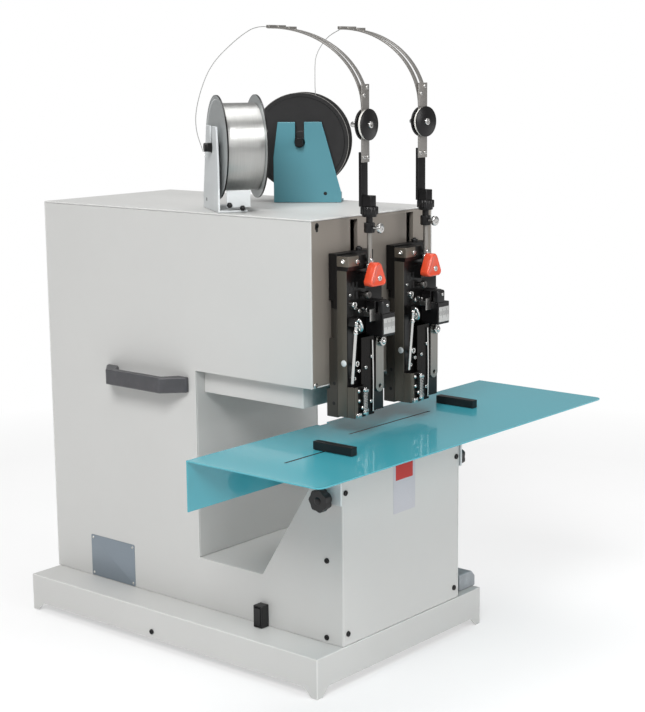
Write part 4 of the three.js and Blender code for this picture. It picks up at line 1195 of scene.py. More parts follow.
def eased(made: bpy.types.Object, finish: Finish, width: float, segments: int, angle: float) -> None:
    """Puts a Bevel on an object and gives the eased edges the rubbed finish.

    Args:
        made: The object.
        finish: Its finish.
        width: Width of the ease in millimetres.
        segments: Steps across the ease.
        angle: The least angle in degrees at which two faces have an edge to ease.
    """
    made.data.materials.append(finish.edge().material())
    bevel = made.modifiers.new("eased edges", "BEVEL")
    bevel.width = width * MM
    bevel.segments = segments
    bevel.limit_method = "ANGLE"
    bevel.angle_limit = math.radians(angle)
    bevel.use_clamp_overlap = True
    bevel.miter_outer = "MITER_ARC"
    bevel.harden_normals = True
    bevel.material = 1


@dataclass
class Piece:
    """A new piece: its shell, finish and the CAD body that it rides on."""

    name: str
    shell: Shell
    finish: Finish
    body: str
    slot: str
    stands_for: tuple[str, ...] = ()
    ease: float = 0.0
    smooth: float = 40.0
    ease_segments: int = 2

    def build(self) -> bpy.types.Object:
        """Makes the object, dresses it and hangs it on its body.

        Returns:
            The finished object.
        """
        made = finished(mesh_of(self.name, self.shell), self.name, self.finish, self.smooth)
        if self.ease:
            eased(made, self.finish, self.ease, self.ease_segments, self.smooth)
        if self.stands_for:
            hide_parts(*self.stands_for)
        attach(made, self.body)
        LOG.info("piece %s", self.name)
        return made


@dataclass
class Softened:
    """A CAD node carried over on a merged copy of its own mesh, with its edges eased."""

    node: str
    finish: Finish
    width: float = 0.6
    segments: int = 2
    angle: float = 34.0

    def build(self) -> bpy.types.Object:
        """Copies the node's mesh, merges it, eases its edges and lets it stand for the node.

        Returns:
            The finished object.
        """
        name = self.node + "_eased"
        mesh = frame["nodes"][self.node].data.copy()
        mesh.name = name
        mesh.materials.clear()
        if mesh.has_custom_normals:
            mesh.normals_split_custom_set([(0.0, 0.0, 0.0)] * len(mesh.loops))
        clean_mesh(mesh, True)
        made = finished(mesh, name, self.finish, self.angle)
        eased(made, self.finish, self.width, self.segments, self.angle)
        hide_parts(self.node)
        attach(made, BODY_OF[self.node])
        LOG.info("piece %s", name)
        return made


def soften(rows: Sequence[Sequence[Any]], ending: str = "") -> None:
    """Carries CAD nodes over with their edges eased.

    Args:
        rows: For each node its name, its finish, the width of the ease and, where they aren't the
            usual ones, the steps across it and the least angle of an edge.
        ending: What follows each name.
    """
    for name, *looks in rows:
        Softened(name + ending, *looks).build()


AT_ORIGIN: tuple[Spot, ...] = ((0.0, 0.0, 0.0),)


@dataclass(frozen=True)
class Fitting:
    """A shape, the way it faces and the places where it stands, in its sub-assembly's own frame."""

    shape: Shape
    facing: Facing
    spots: tuple[Spot, ...]


def in_plane(y: float, *pairs: tuple[float, float]) -> tuple[Spot, ...]:
    """Places at one depth, from pairs of x and height."""
    return tuple((x, y, z) for x, z in pairs)


class Assembly:
    """Base of the sub-assemblies whose small pieces are placed in a frame of their own."""

    def pivot(self) -> tuple[float, float]:
        """The upright line that the places are written from; the machine's middle unless overridden."""
        return (0.0, 0.0)

    def turned_by(self) -> float:
        """How far the frame is turned about that line, in degrees."""
        return 0.0

    def joined(self, *fittings: Fitting) -> Shell:
        """Fittings as one shell in the machine's millimetres.

        Args:
            fittings: The fittings, whose places are in this sub-assembly's frame.

        Returns:
            All their copies, in order.
        """
        shells = []
        for fitting in fittings:
            places = [Place(s, fitting.facing, self.turned_by(), self.pivot()) for s in fitting.spots]
            shells.append(fitting.shape.shell().at(*places))
        return sum(shells[1:], shells[0])

    def add(
        self, name: str, finish: Finish, slot: str, *fittings: Fitting, body: str = "casing",
        stands_for: tuple[str, ...] = (), ease: float = 0.0, smooth: float = 40.0,
    ) -> bpy.types.Object:
        """Builds one piece from fittings of this sub-assembly.

        Args:
            name: The piece's name.
            finish: Its finish.
            slot: Its material slot; not used.
            fittings: What it is made of.
            body: The CAD body that it rides on.
            stands_for: The CAD nodes that it replaces.
            ease: Width of its eased edges in millimetres, or nothing.
            smooth: The angle in degrees past which its edges stay sharp.

        Returns:
            The finished object.
        """
        return Piece(name, self.joined(*fittings), finish, body, slot, stands_for, ease, smooth).build()


@dataclass
class Stage:
    """The camera, the lamps, the pale floor and the white surroundings.

    Places are row metres; lens and film are millimetres, as Blender takes them.
    """

    camera_at: Spot = (-1.5203152, -1.3598599, 0.7452659)
    right: Spot = (0.6440323, -0.7649429, -0.0092119)
    up: Spot = (0.1447426, 0.1100220, 0.9833335)
    back: Spot = (-0.7511804, -0.6346318, 0.1815776)
    lens: float = 79.91
    film: float = 36.0
    sight: float = 60.0
    aim: Spot = (0.0, 0.0, 0.35)
    floor_half: float = 6.0
    floor_tones: tuple[float, float] = (0.86, 0.88)
    floor_clouds: float = 8.0
    fade_from: float = 0.55
    fade_to: float = 1.5
    least_glow: float = 0.55
    ambient: float = 0.2
    mirrored: float = 0.3
    lamps: tuple[tuple[str, Spot, float, float], ...] = (
        ("key", (-2.6, -1.3, 2.7), 1.3, 104.0),
        ("front_fill", (0.2, -3.0, 1.5), 1.6, 38.0),
        ("top", (0.3, 0.3, 3.2), 2.2, 56.0),
    )

    def build(self) -> None:
        """Makes the camera, lamps, floor and surroundings in this order."""
        self._camera()
        for name, place, size, power in self.lamps:
            self._lamp(name, place, size, power)
        self._floor()
        self._world()
        bpy.context.scene.view_settings.view_transform = "Standard"

    def _camera(self) -> None:
        """Sets the camera to the photograph's view."""
        data = bpy.data.cameras.new("camera")
        data.lens = self.lens
        data.sensor_width = self.film
        data.clip_end = self.sight
        made = bpy.data.objects.new("camera", data)
        columns = [self.right, self.up, self.back, self.camera_at]
        rows = [[column[i] for column in columns] for i in range(3)]
        made.matrix_world = Matrix([*rows, [0.0, 0.0, 0.0, 1.0]])
        bpy.context.scene.collection.objects.link(made)
        bpy.context.scene.camera = made

    def _lamp(self, name: str, place: Spot, size: float, power: float) -> None:
        """Hangs one square lamp that looks at the aim.

        Args:
            name: The lamp's name.
            place: Where it hangs.
            size: The length of its side.
            power: Its power in watts.
        """
        data = bpy.data.lights.new(name, "AREA")
        data.size = size
        data.energy = power
        made = bpy.data.objects.new(name, data)
        away = np.array(place) - np.array(self.aim)
        tip = math.atan2(math.hypot(away[0], away[1]), away[2])
        made.location = place
        made.rotation_euler = (tip, 0.0, math.atan2(away[0], -away[1]))
        bpy.context.scene.collection.objects.link(made)

    def _floor(self) -> None:
        """Lays a plain pale floor that fades to even white far from the object."""
        half = self.floor_half
        corners = [(-half, -half, 0.0), (half, -half, 0.0), (half, half, 0.0), (-half, half, 0.0)]
        mesh = bpy.data.meshes.new("floor")
        mesh.from_pydata(corners, [], [(0, 1, 2, 3)])
        mesh.materials.append(self._floor_material())
        made = bpy.data.objects.new("floor", mesh)
        bpy.context.scene.collection.objects.link(made)

    def _floor_material(self) -> bpy.types.Material:
        """Pale diffuse that glows white where it is seen, more so the farther away it lies.

        Returns:
            The floor's material.
        """
        material = bpy.data.materials.new("floor_white")
        material.use_nodes = True
        graph = Graph(material.node_tree)
        where = graph.coordinates()
        length = graph.node("ShaderNodeVectorMath", {"operation": "LENGTH"}, {0: where})
        reach = {"Value": graph.term(length, "Value"), "From Min": self.fade_from, "From Max": self.fade_to}
        fade = graph.term(graph.node("ShaderNodeMapRange", {"clamp": True}, reach))
        low, high = ((tone, tone, tone) for tone in self.floor_tones)
        colour = graph.blend(graph.noise(where, self.floor_clouds, 2.0), low, high)
        pale = graph.term(graph.node("ShaderNodeBsdfDiffuse", {}, {"Color": colour}))
        white = graph.term(graph.node("ShaderNodeEmission", {}, {"Color": (1.0, 1.0, 1.0), "Strength": 1.0}))
        share = fade.top(self.least_glow) * self._seen(graph).top(self._mirror(graph))
        mixed = graph.node("ShaderNodeMixShader", {}, {0: share, 1: pale, 2: white})
        graph.node("ShaderNodeOutputMaterial", {}, {"Surface": graph.term(mixed)})
        return material

    @staticmethod
    def _seen(graph: Graph) -> Term:
        """1 for rays that show a surface straight or through a clear one."""
        rays = graph.node("ShaderNodeLightPath", {}, {})
        return graph.term(rays, "Is Camera Ray").top(graph.term(rays, "Is Transmission Ray"))

    @staticmethod
    def _mirror(graph: Graph) -> Term:
        """1 for rays that a glossy surface sends out."""
        return graph.term(graph.node("ShaderNodeLightPath", {}, {}), "Is Glossy Ray")

    def _world(self) -> None:
        """White where it is seen, and a soft even light elsewhere."""
        world = bpy.data.worlds.new("surroundings")
        world.use_nodes = True
        graph = Graph(world.node_tree)
        plain = self._seen(graph) * (1.0 - self.ambient) + self.ambient
        strength = plain + self._mirror(graph) * (self.mirrored - self.ambient)
        light = graph.node("ShaderNodeBackground", {}, {"Color": (1.0, 1.0, 1.0), "Strength": strength})
        graph.node("ShaderNodeOutputWorld", {}, {"Surface": graph.term(light)})
        bpy.context.scene.world = world


@dataclass
class FreeWires:
    """The two free runs of stitching wire from the arch tips back to the spools."""

    radius: float = 0.5
    lengths: tuple[float, float] = (0.2972, 0.12)
    smooth: float = 60.0
    routes: tuple[tuple[Spot, ...], ...] = (
        (
            (-65.4, 107, 790.1), (-64.3, 123.5, 790.8), (-63.2, 139.7, 788.4), (-62.2, 155, 782.4),
            (-61.2, 169.7, 775), (-60.3, 183.9, 766.6), (-59.4, 197.8, 757.7), (-58.6, 210.7, 747.5),
            (-57.9, 221.9, 735.4), (-57.1, 231.1, 721.7), (-56.4, 238.7, 707.1), (-55.7, 244.7, 691.8),
            (-55, 247.9, 675.6), (-53.4, 247.4, 659.2), (-50.3, 243.9, 643.4), (-49.5, 237.4, 628.3),
            (-51.9, 228.5, 614.7), (-56.7, 216.4, 605), (-63.9, 201.7, 602.9),
        ),
        (
            (71.4, 107, 790.1), (71.5, 114.4, 787.1), (71.5, 121.8, 784.1), (71.7, 129, 780.5),
            (72, 135.4, 775.9), (72.5, 141.4, 770.6), (73.1, 146.8, 764.7), (73.9, 151.5, 758.3),
            (74.7, 154.8, 751.1), (75.7, 156.6, 743.3), (76.7, 157.7, 735.5), (78, 158.9, 727.7),
            (79.6, 160.3, 720), (81.4, 161.6, 712.3), (83.5, 163.1, 704.7), (85.7, 164.7, 697.2),
        ),
    )

    def build(self) -> None:
        for number, (route, length) in enumerate(zip(self.routes, self.lengths), 1):
            line = spline(route)
            node = f"stitch_wire_{number}"
            run = Piece(
                node + "_run", tube(line, self.radius), WIRE, BODY_OF[node], "bright_steel", (node,),
                smooth=self.smooth,
            ).build()
            path = [tuple(float(v) for v in point) for point in row_metres(line)]
            2 * self.radius * MM


@dataclass
class Casing(Assembly):
    """The sheet casing with its screws, rating plate, label, handles and small fittings."""

    side: float = 120.0
    box_front: float = -44.7
    plate_front: float = 0.0
    base_side: float = 170.0
    rating_y: float = 361.0
    rating_z: float = 81.0
    rating_thick: float = 0.8
    rivet_aside: float = 39.0
    rivet_up: float = 25.0
    label_x: float = 2.5
    sheets: tuple[tuple[str, float], ...] = (
        ("base_tray", 1.1), ("side_panel_left", 0.7), ("side_panel_right", 0.7), ("top_back_cover", 0.7),
        ("column_front_panel", 0.7), ("arm_box", 0.7), ("recess_tray", 0.7), ("lower_front_cover", 0.7),
    )
    fixed_parts: tuple[tuple[Any, ...], ...] = (
        ("head_front_plate", SATIN_PLATE, 0.8), ("side_handle_left", HANDLE_GREY, 1.6, 3, 10.0),
        ("side_handle_right", HANDLE_GREY, 1.6, 3, 10.0), ("power_switch_housing", BLACK_PLASTIC, 1.0, 3),
        ("power_rocker", BLACK_PLASTIC, 0.7, 3), ("connection_box", PALE_BLUE, 1.6, 3, 20.0),
    )
    black_screw: Screw = Screw(3.4, 1.9, Section.CROSS)
    bright_screw: Screw = Screw(3.2, 1.9, Section.CROSS)
    rivet: Lathe = Lathe(((0, 0.9), (1.0, 0.8), (1.7, 0.4), (1.9, 0.0), (0.0, 0.0)), 16)
    box_screws: tuple[Spot, ...] = in_plane(box_front, (-113.5, 243), (113.5, 243), (-110, 66), (110, 66))

    # Depth and height of the screws that both sides have
    side_screws: tuple[tuple[float, float], ...] = ((-21, 156), (-20, 58.5))
    base_screw: tuple[float, float] = (236, 21)

    plate_screws: tuple[Spot, ...] = in_plane(plate_front, (-114, 368), (114, 368))
    keyhole: tuple[Fitting, ...] = (
        Fitting(Block(3.4, 3.4, 0.3, 3.3, 0.1), Facing.FRONT, in_plane(plate_front, (-108.3, 558.6))),
        Fitting(Block(1.9, 4.2, 0.3, 1.2, 0.1), Facing.FRONT, in_plane(plate_front, (-108.3, 555.4))),
    )
    rating: Fitting = Fitting(
        Block(43, 29, rating_thick, 2.0, 0.3), Facing.LEFT, ((-side, rating_y, rating_z),),
    )
    label: Fitting = Fitting(
        Block(22.5, 33.5, 0.25, 1.5, 0.1), Facing.FRONT, in_plane(box_front, (label_x, 228.5)),
    )
    label_finish: BandedLabel = BandedLabel(
        "blank_label", paint(190, 190, 196), roughness=0.5, band=paint(190, 44, 38),
        band_from=0.237, band_to=0.258, middle=label_x * MM, half_band=0.0175,
    )

    def build(self) -> None:
        """Eases the sheets and the parts fixed to them, then adds the screws and plates."""
        soften([(node, BODY_PAINT, width, 3) for node, width in self.sheets])
        soften(self.fixed_parts)
        self._screws()
        self._plates()

    def _screws(self) -> None:
        """Black screws on the lower box and base, bright ones on the thick front plate, and the keyhole as a
        dark plate of painted shade.
        """
        sides = ((Facing.LEFT, -1), (Facing.RIGHT, 1))
        on_box = [
            Fitting(self.black_screw, facing, tuple((sign * self.side, y, z) for y, z in self.side_screws))
            for facing, sign in sides
        ]
        on_base = [
            Fitting(self.black_screw, facing, ((sign * self.base_side, *self.base_screw),))
            for facing, sign in sides
        ]
        front = Fitting(self.black_screw, Facing.FRONT, self.box_screws)
        self.add("casing_screws", BLACK_METAL, "black_metal", front, *on_box, *on_base)
        bright = Fitting(self.bright_screw, Facing.FRONT, self.plate_screws)
        self.add("front_plate_screws", CHROME, "bright_steel", bright)
        self.add("keyhole", PAINTED_HOLE_SHADE, "black_metal", *self.keyhole)

    def _plates(self) -> None:
        """The bare rating plate on the left side and the blank label on the lower box."""
        self.add("rating_plate", BLANK_PLATE, "satin_plate", self.rating)
        face = -self.side - self.rating_thick
        corners = tuple(
            (face, self.rating_y + y, self.rating_z + z)
            for y in (-self.rivet_aside, self.rivet_aside) for z in (-self.rivet_up, self.rivet_up)
        )
        self.add("rating_plate_rivets", STEEL, "bright_steel", Fitting(self.rivet, Facing.LEFT, corners))
        self.add("front_label", self.label_finish, "pale_plate", self.label)


@dataclass
class Table(Assembly):
    """The folding work table with its brackets, star knobs and paper guides."""

    knob_x: float = 142.8
    knob_y: float = -26.0
    knob_z: float = 236.0
    cap: Lathe = Lathe(((0, 0.9), (3.4, 0.9), (4.4, 0.6), (4.9, 0.0), (0.0, 0.0)), 32)
    on_each_side: tuple[tuple[Any, ...], ...] = (
        ("table_bracket_", PALE_PLATE, 0.7), ("star_knob_", BLACK_PLASTIC, 1.3, 3, 20.0),
        ("paper_guide_", BLACK_PLASTIC, 1.1, 3),
    )

    def build(self) -> None:
        """Eases the sheet parts, knobs and guides, and gives each knob its insert."""
        Softened("table", TEAL, 0.35).build()
        for side, sign, facing in (("left", -1, Facing.LEFT), ("right", 1, Facing.RIGHT)):
            soften(self.on_each_side, side)
            cap = Fitting(self.cap, facing, ((sign * self.knob_x, self.knob_y, self.knob_z),))
            self.add(f"star_knob_{side}_cap", BLACK_METAL, "black_metal", cap, body="knob_" + side)


@dataclass
class StitchingHead(Assembly):
    """One stitching head with the small bright parts on its black front.

    Places are written from the head's own centre line. Small parts stand on its left side, on its
    front face, on the front of the driver slide and on the front of the former.
    """

    number: int
    centre: float
    side: float = -35.0
    face: float = -28.0
    slide_face: float = -33.0
    former_face: float = -39.0
    eased_parts: tuple[tuple[Any, ...], ...] = (
        ("head_plate_", HEAD_PLATE, 0.7), ("head_body_", HEAD_FRONT, 0.8),
        ("driver_slide_", DARK_STEEL, 0.6), ("feed_link_", LINK_STEEL, 0.5),
        ("thickness_block_", BLACK_METAL, 1.0, 3),
    )

    # The lever's three corners as x, height and radius, the middle that it shrinks to, and its rings
    lever_corners: tuple[Spot, ...] = ((0.6, 507.2, 6.6), (-8.8, 490.6, 5.0), (9.8, 490.6, 5.0))
    lever_sweeps: tuple[tuple[float, float], ...] = ((22, 158), (158, 270), (-90, 22))
    lever_middle: tuple[float, float] = (0.6, 497.5)
    lever_at: Spot = (-4.0, -39.5, 0.0)
    lever_rings: tuple[tuple[float, float], ...] = (
        (0.9, 0.0), (0.97, 0.4), (1.0, 1.2), (1.0, 10.4), (0.99, 11.4), (0.95, 12.2), (0.88, 12.7),
        (0.82, 12.6), (0.79, 12.3), (0.4, 12.2),
    )

    clamp: tuple[Fitting, ...] = (
        Fitting(Block(9.9, 6.1, 1.3, 0.8, 0.5), Facing.FRONT, ((-25.6, -30.0, 515.7),)),
        Fitting(Block(8.2, 6.1, 0.9, 0.8, 0.4), Facing.LEFT, ((side, -21.9, 515.7),)),
    )
    wing: Fitting = Fitting(Block(15.5, 18.0, 14.4, 1.5, 0.8), Facing.FRONT, ((17.6, -13.4, 466.0),))
    side_cover: Fitting = Fitting(Block(7.2, 88.0, 0.5, 0.6, 0.3), Facing.LEFT, ((side, -20.8, 416.5),))
    vents: Fitting = Fitting(
        Block(1.7, 4.4, 0.12, 0.8, 0.05), Facing.FRONT, in_plane(
            face, (-29.5, 474.5), (-22.5, 474.5), (-15.5, 474.5), (-29.5, 486.0), (-22.5, 486.0),
            (-15.5, 486.0),
        ),
    )
    screws: tuple[Fitting, ...] = (
        Fitting(Screw(2.9, 2.2), Facing.LEFT, ((side - 0.9, -24, 516),)),
        Fitting(Screw(2.9, 2.2), Facing.FRONT, ((-19.8, -31.3, 515), (-20.5, face, 460), (-12.5, face, 455))),
        Fitting(Screw(1.7, 1.6), Facing.FRONT, in_plane(face, (-4.5, 457), (-26, 382), (-30, 476))),
    )
    studs: tuple[Fitting, ...] = (
        Fitting(Screw(3.9, 5.4), Facing.FRONT, in_plane(face, (-21.7, 392.3), (-25.5, 464.0))),
        Fitting(Nut(4.4, 4.2, 2.4), Facing.UP, ((1.0, -35.0, 513.0),)),
        Fitting(Block(4.6, 5.4, 3.2, 1.2, 0.6), Facing.FRONT, in_plane(face, (3.0, 451.5))),
        Fitting(Screw(2.4, 5.0), Facing.FRONT, in_plane(face, (-18.0, 383.0), (-26.5, 375.0))),
    )
    disc: Fitting = Fitting(
        Lathe(((0, 0.8), (3.4, 0.8), (3.9, 0.4), (4.0, 0.0), (0.0, 0.0))), Facing.LEFT,
        ((side - 0.5, -23.5, 393.7),),
    )
    plate_bolt: Fitting = Fitting(Nut(4.2, 3.6, 2.2), Facing.UP, ((14.6, -7.0, 524.0),))
    plate_holes: Fitting = Fitting(
        Lathe(((0, 0.06), (2.0, 0.06), (2.2, 0.0), (0.0, 0.0)), 20), Facing.LEFT,
        ((side, -8, 367.5), (side, -7, 343)),
    )
    post_nut: Fitting = Fitting(Nut(5.4, 5.0, 3.1), Facing.UP, ((0.0, -35.0, 506.0),))

    scale_plate: Fitting = Fitting(Block(10.6, 9.4, 0.7, 0.8, 0.2), Facing.FRONT, ((12.0, -55.0, 436.6),))
    scale_middle: Spot = (12.0, -55.0, 438.0)
    pointer: tuple[Fitting, ...] = (
        Fitting(Block(5.6, 7.4, 0.8, 0.6, 0.2), Facing.FRONT, ((-4.4, -42.6, 450),)),
        Fitting(Block(7.3, 3.0, 1.2, 0.5, 0.2), Facing.LEFT, ((-1.6, -35.2, 450),)),
    )
    catch: Fitting = Fitting(Block(7.4, 4.6, 15.0, 2.6, 2.6), Facing.UP, ((8.5, -49.6, 452.0),))
    knob: Fitting = Fitting(
        Lathe(
            (
                (0, 0), (2.6, 0), (2.6, 4.0), (4.2, 4.4), (4.6, 4.8, Section.KNURL),
                (4.6, 9.0, Section.KNURL), (4.0, 9.8), (1.6, 9.8), (1.4, 9.2), (0, 9.2),
            ),
            96,
        ),
        Facing.FRONT, in_plane(face, (-4.0, 474)),
    )
    catch_screw: Fitting = Fitting(Screw(2.0, 1.4), Facing.FRONT, ((9.0, -54.2, 461.5),))
    lever_screw: Fitting = Fitting(Screw(3.5, 1.3), Facing.FRONT, ((-1.7, -51.3, 495.0),))
    link_nut: Fitting = Fitting(Nut(6.3, 5.6, 3.0), Facing.FRONT, ((23.5, -31.9, 414),))

    # The two sprung pins of the former: foot places, and heights over the foot
    pin: Lathe = Lathe(((0, 0), (1.3, 0), (1.3, 31), (0.9, 32), (0, 32)), 16)
    spring: Coil = Coil(2.3, 0.5, 22.0, 11)
    collar: Lathe = Lathe(((0, 0), (2.9, 0), (3.1, 0.4), (3.1, 2.6), (2.7, 3.0), (0, 3.0)))
    pin_feet: tuple[Spot, ...] = ((-19.5, former_face - 3.2, 332.0), (-10.0, slide_face - 3.4, 330.0))
    spring_up: float = 15.0
    upper_collar_up: float = 27.5
    former_parts: tuple[Fitting, ...] = (
        Fitting(
            Lathe(((0, 0), (1.6, 0), (2.3, 0.5), (2.3, 2.2), (1.6, 2.8), (0.8, 3.0), (0, 3.0)), 28),
            Facing.FRONT, in_plane(former_face, (-28.5, 361.0), (-28.0, 349.0), (-22.0, 340.0)),
        ),
        Fitting(
            Screw(2.3, 2.0), Facing.FRONT, in_plane(
                slide_face, (-4.0, 357.0), (3.0, 343.0), (-7.0, 386.0), (4.5, 398.0), (-4.0, 333.0),
            ),
        ),
        Fitting(
            Block(4.4, 3.0, 5.0, 1.4, 1.2), Facing.FRONT,
            ((-29.0, former_face + 1.0, 331.5), (-9.0, slide_face + 1.0, 330.0)),
        ),
        Fitting(
            Pipe(((6.5, -34.2, 330), (6.8, -34.4, 372), (5.8, -34.2, 418)), 1.0, 12, 10),
            Facing.UP, AT_ORIGIN,
        ),
    )
    cheek: tuple[Fitting, ...] = (
        Fitting(Block(3.0, 18.6, 0.6, 0.8, 0.3), Facing.FRONT, in_plane(former_face, (-31.8, 347.0))),
        Fitting(Block(5.2, 18.6, 0.5, 0.8, 0.3), Facing.LEFT, ((side, -33.7, 347.0),)),
    )
    wire_tube: tuple[Fitting, ...] = (
        Fitting(Pipe(((-29.0, -37.4, 443.0), (-29.0, -30.7, 369.0)), 2.1, 16, 11), Facing.UP, AT_ORIGIN),
        Fitting(
            Pipe(
                ((-23, -34, 432), (-23.5, -41, 434), (-26, -43.5, 441), (-28.6, -41.5, 447), (-29, -37, 444)),
                1.7,
            ),
            Facing.UP, AT_ORIGIN,
        ),
        Fitting(Nut(4.4, 6.0, 1.8), Facing.FRONT, ((-23.6, -33.4, 437.0),)),
        Fitting(
            Lathe(((0, 0), (2.6, 0), (3.0, 0.6), (3.0, 4.4), (2.6, 5.0), (0, 5.0))),
            Facing.UP, ((-29.0, -37.2, 439.5), (-29.0, -36.4, 429.0)),
        ),
    )

    def pivot(self) -> tuple[float, float]:
        """The head's centre line."""
        return (self.centre, 0.0)

    def build(self) -> None:
        """Eases the CAD parts, then adds the clamp, plates, screws, springs and wire tube."""
        soften(self.eased_parts, str(self.number))
        self._lever()
        self._covers()
        self._screws()
        self._block_details()
        self._former_details()
        self.add(f"wire_tube_{self.number}", CHROME, "bright_steel", *self.wire_tube)

    def _lever(self) -> None:
        """The orange lever: a rounded triangle, wide at its foot, with a shallow dished face.

        Formula: each ring is k (p - m) + m, where p goes round three corner circles and m is the
        lever's middle.
        """
        sweep = np.radians(np.array(self.lever_sweeps, float))
        angle = sweep[:, :1] + (sweep[:, 1:] - sweep[:, :1]) * np.linspace(0, 1, 9)[None, :]
        corners = np.array(self.lever_corners)[:, None, :]
        reach = corners[..., 2:] * np.stack([np.cos(angle), np.sin(angle)], -1)
        outline = (corners[..., :2] + reach).reshape(-1, 2)
        middle = np.array(self.lever_middle)
        rings = [((outline - middle) * share + middle, height) for share, height in self.lever_rings]
        node = f"thickness_lever_{self.number}"
        formed = Fitting(layered(rings), Facing.FRONT, (self.lever_at,))
        self.add(
            node + "_formed", ORANGE, "orange_plastic", formed, body=f"lever_{self.number}",
            stands_for=(node,), smooth=50,
        )

    def _covers(self) -> None:
        """The brown-grey clamp bar, the black wing, the side cover and the two rows of vents as dark plates
        of painted shade.
        """
        n = self.number
        self.add(f"clamp_bar_{n}", CLAMP_STEEL, "dark_plate", *self.clamp)
        self.add(f"head_wing_{n}", HEAD_FRONT, "black_metal", self.wing)
        self.add(f"head_side_{n}", HEAD_SIDE, "dark_plate", self.side_cover)
        self.add(f"head_vents_{n}", PAINTED_HOLE_SHADE, "black_metal", self.vents)

    def _screws(self) -> None:
        """Bright screws and studs, the pale disc, the bolt and nut of the back plate, and its holes as dark
        discs of painted shade.
        """
        n = self.number
        self.add(f"head_screws_{n}", CHROME, "bright_steel", *self.screws)
        self.add(f"head_studs_{n}", CHROME, "bright_steel", *self.studs)
        self.add(f"head_disc_{n}", PALE_PLATE, "pale_plate", self.disc)
        self.add(f"plate_bolt_{n}", BLACK_METAL, "black_metal", self.plate_bolt)
        self.add(f"plate_holes_{n}", PAINTED_HOLE_SHADE, "black_metal", self.plate_holes)
        self.add(f"post_foot_nut_{n}", CHROME, "bright_steel", self.post_nut)

    def _block_details(self) -> None:
        """The scale plate, its pointer, the round knob and the black catch on the thickness block."""
        n = self.number
        middle = np.array(self.scale_middle) + np.array([self.centre, 0.0, 0.0])
        scale = ScaleFace(
            f"scale_face_{n}", paint(205, 205, 203), roughness=0.34, metallic=0.7,
            centre=tuple(float(v) for v in row_metres(middle)),
        )
        self.add(f"scale_plate_{n}", scale, "bright_steel", self.scale_plate)
        self.add(f"scale_pointer_{n}", STEEL, "bright_steel", *self.pointer)
        self.add(f"block_catch_{n}", BLACK_PLASTIC, "black_plastic", self.catch)
        self.add(f"block_knob_{n}", KNOB_STEEL, "black_metal", self.knob)
        self.add(f"block_catch_screw_{n}", CHROME, "bright_steel", self.catch_screw)
        self.add(f"lever_screw_{n}", CHROME, "bright_steel", self.lever_screw, body=f"lever_{n}")
        self.add(f"link_nut_{n}", CHROME, "bright_steel", self.link_nut, body=f"link_{n}")

    def _former_details(self) -> None:
        """Springs on pins, rollers, screws, toes and the rail; they go down with the driver."""
        driver = f"driver_{self.number}"
        stack = (
            (self.pin, 0.0), (self.spring, self.spring_up), (self.collar, 0.0),
            (self.collar, self.upper_collar_up),
        )
        sprung = [
            Fitting(shape, Facing.UP, tuple((x, y, z + up) for x, y, z in self.pin_feet))
            for shape, up in stack
        ]
        self.add(
            f"former_springs_{self.number}", CHROME, "bright_steel", *sprung, *self.former_parts, body=driver,
        )
        self.add(f"former_cheek_{self.number}", HEAD_SIDE, "dark_plate", *self.cheek, body=driver)


